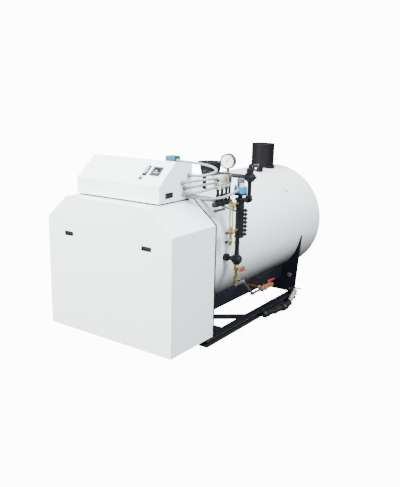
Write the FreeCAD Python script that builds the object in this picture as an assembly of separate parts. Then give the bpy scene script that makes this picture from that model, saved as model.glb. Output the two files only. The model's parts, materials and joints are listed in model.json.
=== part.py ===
import FreeCAD, Part
import math
import os

# Packaged fire-tube boiler on a steel skid, in millimetres.
# X runs to the right of the front cabinet, Y runs from the front to the rear, Z is up.
# Sizes and places are measured from the floor, the shell's centre plane and the middle of the
# base rails. Each finished piece then moves so that the origin is on the floor, in the middle
# of the whole boiler's width and length.

V = FreeCAD.Vector
X_AXIS = V(1, 0, 0)
Y_AXIS = V(0, 1, 0)
Z_AXIS = V(0, 0, 1)
SWEEP = 0.45            # share of a run that each corner arc of a conduit takes

# ---- driving dimensions ----
# Base
rail_length = 1590
rail_height = 54
rail_width = 80
rail_web = 9
rail_outer_x = 512      # outer face of each rail
rail_front_y = -850
cross_width = 90
cross_height = 46
cross_front_y = -610
cross_wall = 6
brace_width = 50
brace_thick = 28
brace_joint_y = 749     # along the rail from its front end
brace_drop = 8          # top of a brace below the top of the rail

# Saddles and the plates under the shell
saddle_thick = 20
saddle_tip_drop = 76    # each horn's top below the shell's centre
saddle_tip_width = 6    # across each horn's flat top
saddle_foot_in = 12     # foot of the plate inside the rail's outer face
front_saddle_gap = 10   # front saddle behind the rail's front end
rear_saddle_y = 710
shell_rail_x = 346
shell_rail_thick = 12
shell_rail_bottom = 186

# Pressure vessel in its jacket
shell_radius = 542
shell_wall = 14
shell_bottom_z = 174    # clear height of the shell over the floor
shell_rear_y = 1150
head_thick = 40
head_round = 22

# Front cabinet
cabinet_width = 1200
cabinet_depth = 524
cabinet_front_y = -1435
cabinet_bottom_z = 140
cabinet_shoulder_z = 1006
cabinet_top_z = 1182
cabinet_chamfer = 204   # how far the top corners are cut in
panel_thick = 4
door_thick = 22
trim_depth = 10
trim_proud = 4
trim_width = 30
pull_width = 88
pull_height = 34
pull_depth = 16
pull_x = 378
pull_z = 898

# Control desk on the cabinet
desk_half_width = 396
desk_gap = 12           # dark strip that carries the desk
desk_inset = 14
desk_front_y = 115      # measured from the cabinet's front, as are the next two
desk_ridge_y = 303
desk_rear_y = 499
desk_lip = 118
desk_ridge = 278
desk_rear = 255
screen_width = 82
screen_height = 82
screen_x = 291
screen_rise = 138        # up the slope from the lip, to the screen's centre
screen_proud = 6
switch_width = 34
switch_height = 96
switch_x = 201
knob_radius = 11
knob_length = 14
knob_x = 190
knob_rise = 62
latch_y = 223
latch_width = 80
latch_height = 36
latch_rise = 51
latch_proud = 8

# Flue stack and the switch box in front of it
stack_radius = 113
stack_wall = 4
stack_y = 850
stack_rise = 232        # over the shell's crown
collar_radius = 121
collar_height = 10
switch_box_size = 80
switch_box_x = 110
switch_box_y = 548
switch_box_rise = 46    # its top over the shell's crown

# Steam outlet nozzle
nozzle_y = -100
nozzle_radius = 57.15
nozzle_wall = 6.02
nozzle_rise = 114       # flange face over the shell's crown
flange_radius = 114.5
flange_thick = 24
hub_top_radius = 96
hub_foot_radius = 74
hub_sunk = 30          # how far the hub's cone is carried down before it is trimmed to the shell
flange_bolt_circle = 190.5
flange_bolt_hole = 19
flange_bolts = 8
bolt_relief = 12        # how far each bolt hole runs on past the flange, beside the hub

# Teal actuator behind the desk
actuator_x = 112
actuator_y = -797
actuator_size = 82
actuator_height = 88
actuator_rise = 130     # its foot over the shell's crown
actuator_post = 22

# Water column and its pipes, all in one upright plane beside the shell
train_gap = 108         # from the shell's side to that plane
pipe_radius = 17
steam_pipe_radius = 16
riser_radius = 15
column_y = -660
column_radius = 32
column_bottom_z = 884
column_top_z = 1186
column_cap = 14
column_cap_proud = 8
boss_radius = 13
boss_length = 18
boss_turn = 35          # degrees from facing the right side towards the rear
boss_count = 7
boss_margin = 26
riser_y = -528
riser_rise = 87         # top of the riser over the steam pipe's axis
steam_pipe_rise = 75    # its axis over the shell's crown
steam_nipple_x = 230
lower_cross_z = 716
fitting_radius = 26
fitting_length = 34
union_radius = 28
union_height = 26
union_rise = 39         # foot of the union over the steam pipe's axis

# Gauge glass
glass_radius = 9
glass_y = -780
glass_top_z = 1150
glass_bottom_z = 948
cock_drop = 70          # drain cock below the lower valve
gauge_valve_size = 34
gauge_knob_radius = 11
gauge_knob_length = 14
gauge_knob_stem = 34
guard_radius = 3
guard_gap = 14          # guard rods beside the glass

# Low water cut-off head
head_box_size = 72
head_box_height = 48
head_base_height = 16
head_neck = 24
head_dome_radius = 27
head_dome_height = 62

# Pressure controls
control_in = 70         # manifold's axis inside the column's plane
manifold_z = 1158
manifold_front_y = -905
manifold_rear_y = -706
manifold_cap_radius = 20
control_pitch = 57
control_count = 3
control_first_y = -865
control_width = 48
control_foot_radius = 22
control_deep = 62
control_base_z = 1270
control_foot_height = 36
control_height = 62
nipple_radius = 10
hex_radius = 15
hex_height = 14

# Pressure gauge on its riser
gauge_radius = 57
gauge_depth = 42
gauge_z = 1462
gauge_in = 79           # inside the column's plane
gauge_y = -736
gauge_turn = 12         # degrees from facing the front towards the right side
gauge_stem_radius = 9

# Drain train below the column
drain_y = -682
brass_z = 654
brass_size = 44
brass_radius = 18
wheel_radius = 33
wheel_rim = 5.5
wheel_hub = 12
wheel_spokes = 4
spoke_radius = 3.4
wheel_reach = 74        # from the valve's centre to the wheel's plane
wheel_turn = 22         # degrees from facing the right side towards the front
stem_radius = 4
ball_z = 556
ball_size = 40
ball_radius = 16
lever_length = 98
lever_width = 18
lever_thick = 6
bonnet_height = 16
drain_pipe_radius = 11
drain_knee_y = -535
drain_knee_z = 508
drain_low_x = 500
drain_low_y = -142
drain_low_z = 262
drain_tee_y = 60
drain_end_y = 214
fitting_round = 25
end_valve_radius = 22
blow_lever_length = 104
blow_lever_width = 26

# Rear blow-down valve
rear_valve_x = 440
rear_valve_z = 32
rear_valve_radius = 20
rear_valve_length = 62
rear_bonnet_height = 24
rear_lever_length = 118

# Blow-down line beside the right rail
blow_radius = 25
blow_coupling = 32
blow_elbow = 35
blow_union = 29
blow_valve_radius = 23
blow_valve_ends = 17
blow_nut_share = 0.25   # each end's share of the valve's length
blow_front = V(462, 20, 36)
blow_corner = V(552, 20, 36)
blow_bend = V(604, 304, 37)
blow_valve_start = V(590, 430, 44)
blow_valve_end = V(546, 640, 98)
blow_rear = V(480, 710, 98)

# Conduits between the desk and the controls
conduit_diameter = 20
gland_radius = 15
gland_length = 20
gland_thread = 4        # how far an end connector screws into its device

conduit_routes = {
    "actuator_conduit": [V(416, -983, 1368), V(504, -983, 1370), V(558, -929, 1382), V(557, -847, 1398),
                         V(496, -791, 1416), V(382, -789, 1434), V(173, -797, 1440)],
    "upper_control_conduit": [V(416, -1062, 1322), V(504, -1060, 1342), V(573, -988, 1352),
                              V(580, -909, 1352)],
    "middle_control_conduit": [V(416, -1034, 1282), V(500, -1034, 1300), V(562, -984, 1316),
                               V(580, -909, 1320)],
    "lower_control_conduit": [V(416, -1046, 1240), V(500, -1044, 1254), V(564, -986, 1276),
                              V(580, -909, 1286)],
    "cutoff_conduit": [V(416, -1000, 1216), V(504, -998, 1206), V(622, -890, 1208), V(652, -788, 1234),
                       V(650, -716, 1246)],
    "column_conduit": [V(416, -958, 1222), V(496, -958, 1214), V(548, -901, 1194), V(548, -812, 1160),
                       V(556, -752, 1122), V(613.2, -696.8, 1104)],
}

# Fits
seat = 0.3              # face-to-face clearance of a part that turns on another
turn_fit = 0.4          # radial clearance round a valve stem

# Small pipework details, shared by several pieces
elbow_swell = 1.35      # an elbow's size over its pipe
neck_share = 0.5        # a valve's neck over its body
lever_share = 0.7       # a lever's arm over its hub
stem_end = 3            # a stem stands past its lever by this much
overrun = 1             # cutters reach past the faces they cut by this much
flatness = 0.01         # an edge that leaves its plane by less than this lies in it

# ---- places worked out from them ----
shell_centre_z = shell_bottom_z + shell_radius
crown_z = shell_centre_z + shell_radius
saddle_tip_z = shell_centre_z - saddle_tip_drop
switch_box_top_z = crown_z + switch_box_rise
stack_top_z = crown_z + stack_rise
nozzle_face_z = crown_z + nozzle_rise
actuator_base_z = crown_z + actuator_rise
steam_pipe_z = crown_z + steam_pipe_rise
riser_top_z = steam_pipe_z + riser_rise
union_z = steam_pipe_z + union_rise
train_x = shell_radius + train_gap
control_x = train_x - control_in
gauge_x = train_x - gauge_in
rail_inner_x = rail_outer_x - rail_width
rail_rear_y = rail_front_y + rail_length
cabinet_rear_y = cabinet_front_y + cabinet_depth
half_cabinet = cabinet_width / 2
half_top = half_cabinet - cabinet_chamfer
chamfer_angle = math.atan2(cabinet_top_z - cabinet_shoulder_z, cabinet_chamfer)
shell_front_y = cabinet_rear_y + trim_depth
head_front_y = shell_rear_y - head_thick
front_saddle_y = rail_front_y + front_saddle_gap
desk_base_z = cabinet_top_z + desk_gap
wheel_way = V(math.cos(math.radians(wheel_turn)), -math.sin(math.radians(wheel_turn)), 0)
boss_way = V(math.cos(math.radians(boss_turn)), math.sin(math.radians(boss_turn)), 0)
wheel_out = wheel_reach * wheel_way.x - (wheel_radius - wheel_rim) * wheel_way.y + wheel_rim
middle_x = (train_x + wheel_out - half_cabinet - trim_proud) / 2
middle_y = (cabinet_front_y + shell_rear_y) / 2


# ---- small makers ----
def block(x0, x1, y0, y1, z0, z1):
    return Part.makeBox(x1 - x0, y1 - y0, z1 - z0, V(x0, y0, z0))


def rod(start, end, radius):
    line = end - start
    return Part.makeCylinder(radius, line.Length, start, line)


def ball(centre, radius):
    return Part.makeSphere(radius, centre)


def fuse(shapes):
    return shapes[0].multiFuse(shapes[1:]).removeSplitter()


def prism(points, direction):
    wire = Part.makePolygon(points + [points[0]])
    return Part.Face(wire).extrude(direction)


def pipe_run(points, radius):
    """Straight pipe from point to point, with round elbows a little larger than the pipe."""
    shapes = []
    for start, end in zip(points, points[1:]):
        shapes.append(rod(start, end, radius))
    for corner in points[1:-1]:
        shapes.append(ball(corner, radius * elbow_swell))
    return fuse(shapes)


def lever(pivot, axis, way, length, width):
    """Flat lever with a round bored hub, its pivot on the face nearest its valve."""
    half = width / 2
    side = axis.cross(way) * (half * lever_share)
    hub = rod(pivot, pivot + axis * lever_thick, half)
    arm = prism([pivot - side, pivot + side, pivot + side + way * length, pivot - side + way * length],
                axis * lever_thick)
    bore = rod(pivot - axis * overrun, pivot + axis * (lever_thick + overrun), stem_radius + turn_fit)
    return hub.fuse(arm).removeSplitter().cut(bore)


def shell_side(z):
    """How far out the shell's side is at the height z."""
    return math.sqrt(shell_radius ** 2 - (z - shell_centre_z) ** 2)


def shell_drum(radius, y0, y1):
    return Part.makeCylinder(radius, y1 - y0, V(0, y0, shell_centre_z), Y_AXIS)


def off_shell(shape):
    """The shape less what would reach inside the shell's surface."""
    return shape.cut(shell_drum(shell_radius, shell_front_y - overrun, shell_rear_y + overrun))


def group(shapes):
    return Part.makeCompound(shapes)


def save(shape, name):
    placed = shape.translated(V(-middle_x, -middle_y, 0))
    placed.exportStep("parts/" + name + ".step")


# ---- base ----
def base_rail(side):
    outer = side * rail_outer_x
    inner = side * rail_inner_x
    low, high = min(outer, inner), max(outer, inner)
    bar = block(low, high, rail_front_y, rail_rear_y, 0, rail_height)
    hollow_in = inner + side * rail_web
    hollow_out = outer + side * overrun
    hollow = block(min(hollow_in, hollow_out), max(hollow_in, hollow_out), rail_front_y - overrun,
                   rail_rear_y + overrun, rail_web, rail_height - rail_web)
    return bar.cut(hollow)


def front_cross_member():
    top = rail_height
    bottom = top - cross_height
    y1 = cross_front_y + cross_width
    tube = block(-rail_inner_x, rail_inner_x, cross_front_y, y1, bottom, top)
    core = block(-rail_inner_x - overrun, rail_inner_x + overrun, cross_front_y + cross_wall,
                 y1 - cross_wall, bottom + cross_wall, top - cross_wall)
    return tube.cut(core)


def base_brace(side):
    """Flat bar from the middle of the front cross member out to the rail."""
    top = rail_height - brace_drop
    front_y = cross_front_y + cross_width
    rear_y = rail_front_y + brace_joint_y
    slope = math.hypot(rail_inner_x, rear_y - front_y) / rail_inner_x
    run = brace_width * slope
    points = [V(0, front_y, top), V(side * rail_inner_x, rear_y - run, top),
              V(side * rail_inner_x, rear_y, top), V(0, front_y + run, top)]
    return prism(points, V(0, 0, -brace_thick))


def saddle(y):
    """Upright plate that stands on the rails and is cut round the shell."""
    tip_out = shell_side(saddle_tip_z) + saddle_tip_width
    half = [V(rail_outer_x - saddle_foot_in, y, rail_height), V(tip_out, y, saddle_tip_z)]
    mirrored = [V(-p.x, p.y, p.z) for p in reversed(half)]
    plate = prism(half + mirrored, V(0, saddle_thick, 0))
    return off_shell(plate)


def shell_rail(side):
    """Long plate between the saddles, welded along the underside of the shell."""
    x0 = side * shell_rail_x - shell_rail_thick / 2
    y0 = front_saddle_y + saddle_thick
    plate = block(x0, x0 + shell_rail_thick, y0, rear_saddle_y, shell_rail_bottom, shell_centre_z)
    return off_shell(plate)


# ---- pressure vessel ----
def shell():
    drum = shell_drum(shell_radius, shell_front_y + panel_thick, head_front_y)
    core = shell_drum(shell_radius - shell_wall, shell_front_y, head_front_y + overrun)
    flue_hole = rod(V(0, stack_y, shell_centre_z), V(0, stack_y, stack_top_z), stack_radius - stack_wall)
    steam_hole = rod(V(0, nozzle_y, shell_centre_z), V(0, nozzle_y, stack_top_z),
                     nozzle_radius - nozzle_wall)
    return drum.cut(core).cut(flue_hole).cut(steam_hole)


def front_plate():
    return shell_drum(shell_radius, shell_front_y, shell_front_y + panel_thick)


def rear_head():
    """Closed rear end with a rolled edge."""
    head = shell_drum(shell_radius, head_front_y, shell_rear_y)
    rim = [e for e in head.Edges if abs(e.BoundBox.YMin - shell_rear_y) < flatness
           and e.BoundBox.YLength < flatness and len(e.Vertexes) == 1]
    return head.makeFillet(head_round, rim)


# ---- cabinet ----
def cabinet_outline(inset, y):
    """Front outline of the cabinet, drawn in by the inset, at the depth y."""
    half = half_cabinet - inset
    top = cabinet_top_z - inset
    shoulder = cabinet_shoulder_z - inset * math.tan((math.pi / 2 - chamfer_angle) / 2)
    flat = half_top - inset * math.tan(chamfer_angle / 2)
    bottom = cabinet_bottom_z + inset
    return [V(-half, y, bottom), V(half, y, bottom), V(half, y, shoulder), V(flat, y, top),
            V(-flat, y, top), V(-half, y, shoulder)]


def cabinet_slab(inset, y0, y1):
    return prism(cabinet_outline(inset, y0), V(0, y1 - y0, 0))


def cabinet_ring():
    """The folded sheet round the cabinet, before it is split into its panels."""
    y0 = cabinet_front_y + door_thick
    outer = cabinet_slab(0, y0, cabinet_rear_y)
    return outer.cut(cabinet_slab(panel_thick, y0 - overrun, cabinet_rear_y + overrun))


def cabinet_side(side):
    x0, x1 = sorted((side * half_cabinet, side * (half_cabinet - panel_thick)))
    band = block(x0, x1, cabinet_front_y, cabinet_rear_y, cabinet_bottom_z, cabinet_shoulder_z)
    return cabinet_ring().common(band)


def cabinet_roof():
    """Top sheet with its two sloping shoulders, down to the side sheets."""
    roof = cabinet_ring()
    for side in (-1, 1):
        roof = roof.cut(cabinet_side(side))
    under = block(-half_cabinet, half_cabinet, cabinet_front_y, cabinet_rear_y,
                  cabinet_bottom_z, cabinet_shoulder_z - panel_thick)
    return roof.cut(under)


def cabinet_floor():
    y0 = cabinet_front_y + door_thick
    return block(-half_cabinet + panel_thick, half_cabinet - panel_thick, y0, cabinet_rear_y - panel_thick,
                 cabinet_bottom_z, cabinet_bottom_z + panel_thick)


def cabinet_back():
    return cabinet_slab(panel_thick, cabinet_rear_y - panel_thick, cabinet_rear_y)


def cabinet_front():
    """Front panel with a pocket behind each flush pull."""
    panel = cabinet_slab(0, cabinet_front_y, cabinet_front_y + door_thick)
    for side in (-1, 1):
        panel = panel.cut(pull_block(side, 0))
    return panel


def pull_block(side, inset):
    x = side * pull_x
    return block(x - pull_width / 2 + inset, x + pull_width / 2 - inset, cabinet_front_y - overrun,
                 cabinet_front_y + pull_depth - inset, pull_z - pull_height / 2 + inset,
                 pull_z + pull_height / 2 - inset)


def pull(side):
    """Flush pull: a shallow cup let into the front panel."""
    cup = pull_block(side, 0)
    front = block(-half_cabinet, half_cabinet, cabinet_front_y - 2, cabinet_front_y,
                  cabinet_bottom_z, cabinet_top_z)
    return cup.cut(front).cut(pull_block(side, panel_thick))


def cabinet_trim():
    """Black edge strip between the cabinet and the shell's front."""
    outer = cabinet_slab(-trim_proud, cabinet_rear_y, cabinet_rear_y + trim_depth)
    inner = cabinet_slab(trim_width, cabinet_rear_y - overrun, cabinet_rear_y + trim_depth + overrun)
    spacer = shell_drum(shell_radius, cabinet_rear_y, cabinet_rear_y + trim_depth)
    return outer.cut(inner).fuse(spacer.common(outer)).removeSplitter()


# ---- control desk ----
def desk_profile(x, inset):
    y = cabinet_front_y
    return [V(x, y + desk_front_y + inset, desk_base_z), V(x, y + desk_rear_y - inset, desk_base_z),
            V(x, y + desk_rear_y - inset, desk_base_z + desk_rear - inset),
            V(x, y + desk_ridge_y, desk_base_z + desk_ridge - inset),
            V(x, y + desk_front_y + inset, desk_base_z + desk_lip - inset)]


def control_desk():
    return prism(desk_profile(-desk_half_width, 0), V(2 * desk_half_width, 0, 0))


def desk_plinth():
    y = cabinet_front_y
    return block(-desk_half_width + desk_inset, desk_half_width - desk_inset,
                 y + desk_front_y + desk_inset, y + desk_rear_y - desk_inset,
                 cabinet_top_z, desk_base_z)


def on_slope(x, width, rise, height, proud):
    """A plate on the desk's sloping face, its centre the rise above the lip along the slope."""
    run = desk_ridge_y - desk_front_y
    climb = desk_ridge - desk_lip
    length = math.hypot(run, climb)
    along = V(0, run / length, climb / length)
    out = V(0, -climb / length, run / length)
    lip = V(0, cabinet_front_y + desk_front_y, desk_base_z + desk_lip)
    centre = lip + along * rise
    corners = []
    for sx, sa in ((-1, -1), (1, -1), (1, 1), (-1, 1)):
        corners.append(centre + along * (sa * height / 2) + V(x + sx * width / 2, 0, 0))
    return prism(corners, out * proud), centre, out


def desk_screen():
    return on_slope(screen_x, screen_width, screen_rise, screen_height, screen_proud)[0]


def desk_switch_plate():
    return on_slope(switch_x, switch_width, screen_rise, switch_height, screen_proud)[0]


def desk_knob():
    centre, out = on_slope(knob_x, knob_radius, knob_rise, knob_radius, knob_length)[1:]
    foot = centre + V(knob_x, 0, 0)
    return Part.makeCylinder(knob_radius, knob_length, foot, out)


def desk_latch():
    y = cabinet_front_y + latch_y
    z = desk_base_z + latch_rise
    body = block(desk_half_width, desk_half_width + latch_proud, y - latch_width / 2, y + latch_width / 2,
                 z - latch_height / 2, z + latch_height / 2)
    return body


# ---- on top of the shell ----
def flue_stack():
    """Open tube with a reinforcing collar welded round its foot."""
    foot = shell_centre_z
    tube = rod(V(0, stack_y, foot), V(0, stack_y, stack_top_z), stack_radius)
    collar = rod(V(0, stack_y, foot), V(0, stack_y, crown_z + collar_height), collar_radius)
    bore = rod(V(0, stack_y, foot - overrun), V(0, stack_y, stack_top_z + overrun),
               stack_radius - stack_wall)
    return off_shell(tube.fuse(collar).cut(bore))


def flue_switch():
    """Small black switch box on the shell, in front of the stack."""
    half = switch_box_size / 2
    return off_shell(block(switch_box_x - half, switch_box_x + half, switch_box_y - half,
                           switch_box_y + half, shell_centre_z, switch_box_top_z))


def steam_nozzle():
    """Neck with a flat flange, the steam outlet of the vessel."""
    foot = V(0, nozzle_y, shell_centre_z)
    face = V(0, nozzle_y, nozzle_face_z)
    neck = rod(foot, face, nozzle_radius)
    flange = Part.makeCylinder(flange_radius, flange_thick, face - V(0, 0, flange_thick))
    hub_height = nozzle_face_z - flange_thick - crown_z + hub_sunk
    hub_low = V(0, nozzle_y, crown_z - hub_sunk)
    hub = Part.makeCone(hub_foot_radius, hub_top_radius, hub_height, hub_low)
    whole = off_shell(neck.fuse(flange).fuse(hub))
    whole = whole.cut(rod(foot, face + Z_AXIS, nozzle_radius - nozzle_wall))
    for number in range(flange_bolts):
        angle = 2 * math.pi * (number + 0.5) / flange_bolts
        spot = V(math.cos(angle), math.sin(angle), 0) * (flange_bolt_circle / 2) + face
        whole = whole.cut(rod(spot + Z_AXIS, spot - V(0, 0, flange_thick + bolt_relief),
                              flange_bolt_hole / 2))
    return whole


def vent_actuator():
    half = actuator_size / 2
    top = actuator_base_z + actuator_height
    body = block(actuator_x - half, actuator_x + half, actuator_y - half, actuator_y + half,
                 actuator_base_z, top)
    return body.fuse(end_gland("actuator_conduit"))


def actuator_post_tube():
    post = rod(V(actuator_x, actuator_y, shell_centre_z), V(actuator_x, actuator_y, actuator_base_z),
               actuator_post)
    return off_shell(post)


# ---- water column ----
def steam_pipe():
    """From the top of the shell, over and across to the column's riser."""
    points = [V(steam_nipple_x, riser_y, shell_centre_z), V(steam_nipple_x, riser_y, steam_pipe_z),
              V(train_x - fitting_length, riser_y, steam_pipe_z)]
    return off_shell(pipe_run(points, steam_pipe_radius))


def riser():
    """Upright pipe with a cross, a union and a plug, down to the arm into the column."""
    arm_z = column_top_z - column_cap / 2 - pipe_radius
    foot = V(train_x, riser_y, arm_z)
    top = V(train_x, riser_y, riser_top_z)
    cross = V(train_x, riser_y, steam_pipe_z)
    shapes = [rod(foot, top, riser_radius), ball(foot, fitting_radius)]
    shapes.append(rod(cross - X_AXIS * fitting_length, cross + X_AXIS * fitting_length, fitting_radius))
    shapes.append(rod(cross - Z_AXIS * fitting_length, cross + Z_AXIS * fitting_length, fitting_radius))
    shapes.append(rod(V(train_x, riser_y, union_z), V(train_x, riser_y, union_z + union_height),
                      union_radius))
    shapes.append(rod(foot, V(train_x, column_y, arm_z), riser_radius))
    return fuse(shapes).cut(water_column())


def water_column():
    """Cast body with a cap on top and a row of plugged bosses up its outer side."""
    low = V(train_x, column_y, column_bottom_z)
    high = V(train_x, column_y, column_top_z)
    shapes = [rod(low, high, column_radius)]
    shapes.append(rod(high - Z_AXIS * column_cap, high, column_radius + column_cap_proud))
    first = column_bottom_z + boss_margin
    last = column_top_z - column_cap - boss_margin - 2 * fitting_radius
    for number in range(boss_count):
        z = first + (last - first) * number / (boss_count - 1)
        start = V(train_x, column_y, z)
        shapes.append(rod(start, start + boss_way * (column_radius + boss_length), boss_radius))
    shapes.append(end_gland("column_conduit"))
    return fuse(shapes)


def cutoff_base():
    neck_top = column_top_z + head_neck
    half = head_box_size / 2
    neck = rod(V(train_x, column_y, column_top_z), V(train_x, column_y, neck_top), pipe_radius)
    base = block(train_x - half, train_x + half, column_y - half, column_y + half,
                 neck_top, neck_top + head_base_height)
    return neck.fuse(base)


def cutoff_head():
    z0 = column_top_z + head_neck + head_base_height
    half = head_box_size / 2
    body = block(train_x - half, train_x + half, column_y - half, column_y + half,
                 z0, z0 + head_box_height)
    dome = rod(V(train_x, column_y, z0), V(train_x, column_y, z0 + head_box_height + head_dome_height),
               head_dome_radius)
    return fuse([body, dome, end_gland("cutoff_conduit")])


def gauge_glass():
    half = gauge_valve_size / 2
    return rod(V(train_x, glass_y, glass_bottom_z + half), V(train_x, glass_y, glass_top_z - half),
               glass_radius)


def gauge_valve(z):
    """Brass valve block, with its arm into the column."""
    half = gauge_valve_size / 2
    body = block(train_x - half, train_x + half, glass_y - half, glass_y + half, z - half, z + half)
    arm = rod(V(train_x, glass_y, z), V(train_x, column_y, z), pipe_radius / 2)
    column = Part.makeCylinder(column_radius, column_top_z, V(train_x, column_y, 0))
    return body.fuse(arm.cut(column)).removeSplitter()


def gauge_valves():
    """The two valve blocks, with the guard rods between them and the drain cock below."""
    half = gauge_valve_size / 2
    shapes = [gauge_valve(glass_top_z), gauge_valve(glass_bottom_z), gauge_cock()]
    for side in (-1, 1):
        x = train_x + side * guard_gap
        shapes.append(rod(V(x, glass_y, glass_bottom_z), V(x, glass_y, glass_top_z), guard_radius))
    return fuse(shapes).cut(gauge_glass())


def gauge_cock():
    """Drain cock that hangs under the lower valve block."""
    half = gauge_valve_size / 2
    centre = V(train_x, glass_y, glass_bottom_z - cock_drop)
    neck = rod(centre, V(train_x, glass_y, glass_bottom_z - half), nipple_radius)
    body = ball(centre, half)
    tail = rod(centre, centre - Z_AXIS * gauge_valve_size, nipple_radius)
    return fuse([neck, body, tail])


def gauge_knob(z):
    """Round black knob on the front of a gauge valve."""
    half = gauge_valve_size / 2
    start = V(train_x, glass_y - half, z)
    stem_end = start - Y_AXIS * gauge_knob_stem
    return fuse([rod(start, stem_end, stem_radius), rod(stem_end, stem_end - Y_AXIS * gauge_knob_length,
                                                        gauge_knob_radius)])


# ---- pressure controls and gauge ----
def manifold():
    """Pipe along the shell with a nipple up to each control, joined to the column's top arm."""
    front = V(control_x, manifold_front_y, manifold_z)
    shapes = [rod(front, V(control_x, manifold_rear_y, manifold_z), pipe_radius)]
    shapes.append(rod(V(control_x, manifold_front_y - hex_height / 2, manifold_z),
                      V(control_x, manifold_front_y + hex_height, manifold_z), manifold_cap_radius))
    for number in range(control_count):
        foot = V(control_x, control_first_y + number * control_pitch, manifold_z)
        shapes.append(rod(foot, V(foot.x, foot.y, control_base_z), nipple_radius))
        middle = (manifold_z + control_base_z) / 2
        shapes.append(rod(V(foot.x, foot.y, middle), V(foot.x, foot.y, middle + hex_height), hex_radius))
    return fuse(shapes)


def manifold_link():
    """Short pipe from the shell, out under the manifold's rear end."""
    z = manifold_z
    start = V(shell_side(z) - shell_wall / 2, manifold_rear_y, z)
    end = V(control_x, manifold_rear_y, z)
    link = fuse([rod(start, end, pipe_radius), ball(end, fitting_radius)])
    return off_shell(link)


def pressure_controls():
    """Row of switch boxes, each on a round foot above its nipple; the first takes three conduits."""
    boxes = []
    for number in range(control_count):
        y = control_first_y + number * control_pitch
        foot = V(control_x, y, control_base_z)
        foot_top = control_base_z + control_foot_height
        box = block(control_x - control_deep / 2, control_x + control_deep / 2, y - control_width / 2,
                    y + control_width / 2, foot_top, foot_top + control_height)
        boxes.append(box.fuse(rod(foot, V(control_x, y, foot_top), control_foot_radius)))
    for name in ("upper", "middle", "lower"):
        boxes[0] = boxes[0].fuse(end_gland(name + "_control_conduit"))
    return group(boxes)


def gauge_way():
    """The direction that the gauge faces."""
    turn = math.radians(gauge_turn)
    return V(math.sin(turn), -math.cos(turn), 0)


def pressure_gauge():
    centre = V(gauge_x, gauge_y, gauge_z)
    back = centre - gauge_way() * gauge_depth
    return rod(back, centre, gauge_radius)


def gauge_riser():
    """Stem under the gauge, down to the manifold's rear end."""
    half = gauge_way() * (gauge_depth / 2)
    top = V(gauge_x, gauge_y, gauge_z) - half
    bend = V(top.x, top.y, gauge_z - gauge_radius - fitting_length)
    foot = V(control_x, manifold_rear_y, manifold_z)
    knee = V(control_x, manifold_rear_y, bend.z - fitting_length)
    body = pipe_run([foot, knee, bend, top], gauge_stem_radius)
    joint = ball(foot, fitting_radius)
    return body.cut(pressure_gauge()).cut(joint).cut(rod(foot, foot - Y_AXIS * fitting_length, pipe_radius))


# ---- drain train ----
def lower_pipe():
    """From the foot of the column down to the lower cross, and in to the shell's side."""
    cross = V(train_x, drain_y, lower_cross_z)
    union_start = V(shell_side(lower_cross_z) + seat, drain_y, lower_cross_z)
    shapes = [rod(V(train_x, drain_y, column_bottom_z), cross, pipe_radius)]
    shapes.append(rod(union_start, union_start + X_AXIS * union_height, union_radius))
    shapes.append(rod(cross - X_AXIS * fitting_length, cross + X_AXIS * fitting_length, fitting_radius))
    shapes.append(rod(cross - Z_AXIS * fitting_length, cross + Z_AXIS * fitting_length, fitting_radius))
    shapes.append(rod(cross, cross + Y_AXIS * (fitting_length + boss_length), pipe_radius))
    shapes.append(rod(V(shell_side(lower_cross_z) - shell_wall, drain_y, lower_cross_z), cross, pipe_radius))
    foot_z = brass_z + brass_size / 2
    shapes.append(rod(cross, V(train_x, drain_y, foot_z), steam_pipe_radius))
    return off_shell(fuse(shapes))


def wheel_valve():
    """Brass valve body with a stem out to the handwheel."""
    centre = V(train_x, drain_y, brass_z)
    half = brass_size / 2
    wheel_face = wheel_reach - wheel_rim - seat
    body = rod(centre - Z_AXIS * half, centre + Z_AXIS * half, brass_radius)
    neck = rod(centre, centre + wheel_way * (half + bonnet_height), half * neck_share)
    stem = rod(centre, centre + wheel_way * (wheel_reach + wheel_rim), stem_radius)
    collar = rod(centre + wheel_way * (wheel_face - lever_thick), centre + wheel_way * wheel_face,
                 wheel_hub * lever_share)
    return fuse([body, neck, stem, collar])


def handwheel():
    """Rim on four spokes round a bored hub, turning on the valve's stem."""
    centre = V(train_x, drain_y, brass_z) + wheel_way * wheel_reach
    across = wheel_way.cross(Z_AXIS)
    rim = Part.makeTorus(wheel_radius - wheel_rim, wheel_rim, centre, wheel_way)
    hub = rod(centre - wheel_way * wheel_rim, centre + wheel_way * wheel_rim, wheel_hub)
    shapes = [rim, hub]
    for number in range(wheel_spokes):
        angle = 2 * math.pi * number / wheel_spokes
        reach = (across * math.cos(angle) + Z_AXIS * math.sin(angle)) * (wheel_radius - wheel_rim)
        shapes.append(rod(centre, centre + reach, spoke_radius))
    bore = rod(centre - wheel_way * wheel_radius, centre + wheel_way * wheel_radius, stem_radius + turn_fit)
    return fuse(shapes).cut(bore)


def ball_valve():
    """Quarter-turn valve under the brass one, its stem facing out."""
    centre = V(train_x, drain_y, ball_z)
    half = ball_size / 2
    body = rod(centre - Z_AXIS * half, centre + Z_AXIS * half, ball_radius)
    link = rod(centre, V(train_x, drain_y, brass_z - brass_size / 2), drain_pipe_radius)
    bonnet_end = half + bonnet_height
    neck = rod(centre, centre + X_AXIS * bonnet_end, half * neck_share)
    stem = rod(centre, centre + X_AXIS * (bonnet_end + seat + lever_thick + stem_end), stem_radius)
    return fuse([body, link, neck, stem])


def ball_lever():
    """Flat lever that points to the rear when the valve is shut."""
    pivot = V(train_x + ball_size / 2 + bonnet_height + seat, drain_y, ball_z)
    return lever(pivot, X_AXIS, Y_AXIS, lever_length, lever_width)


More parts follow.
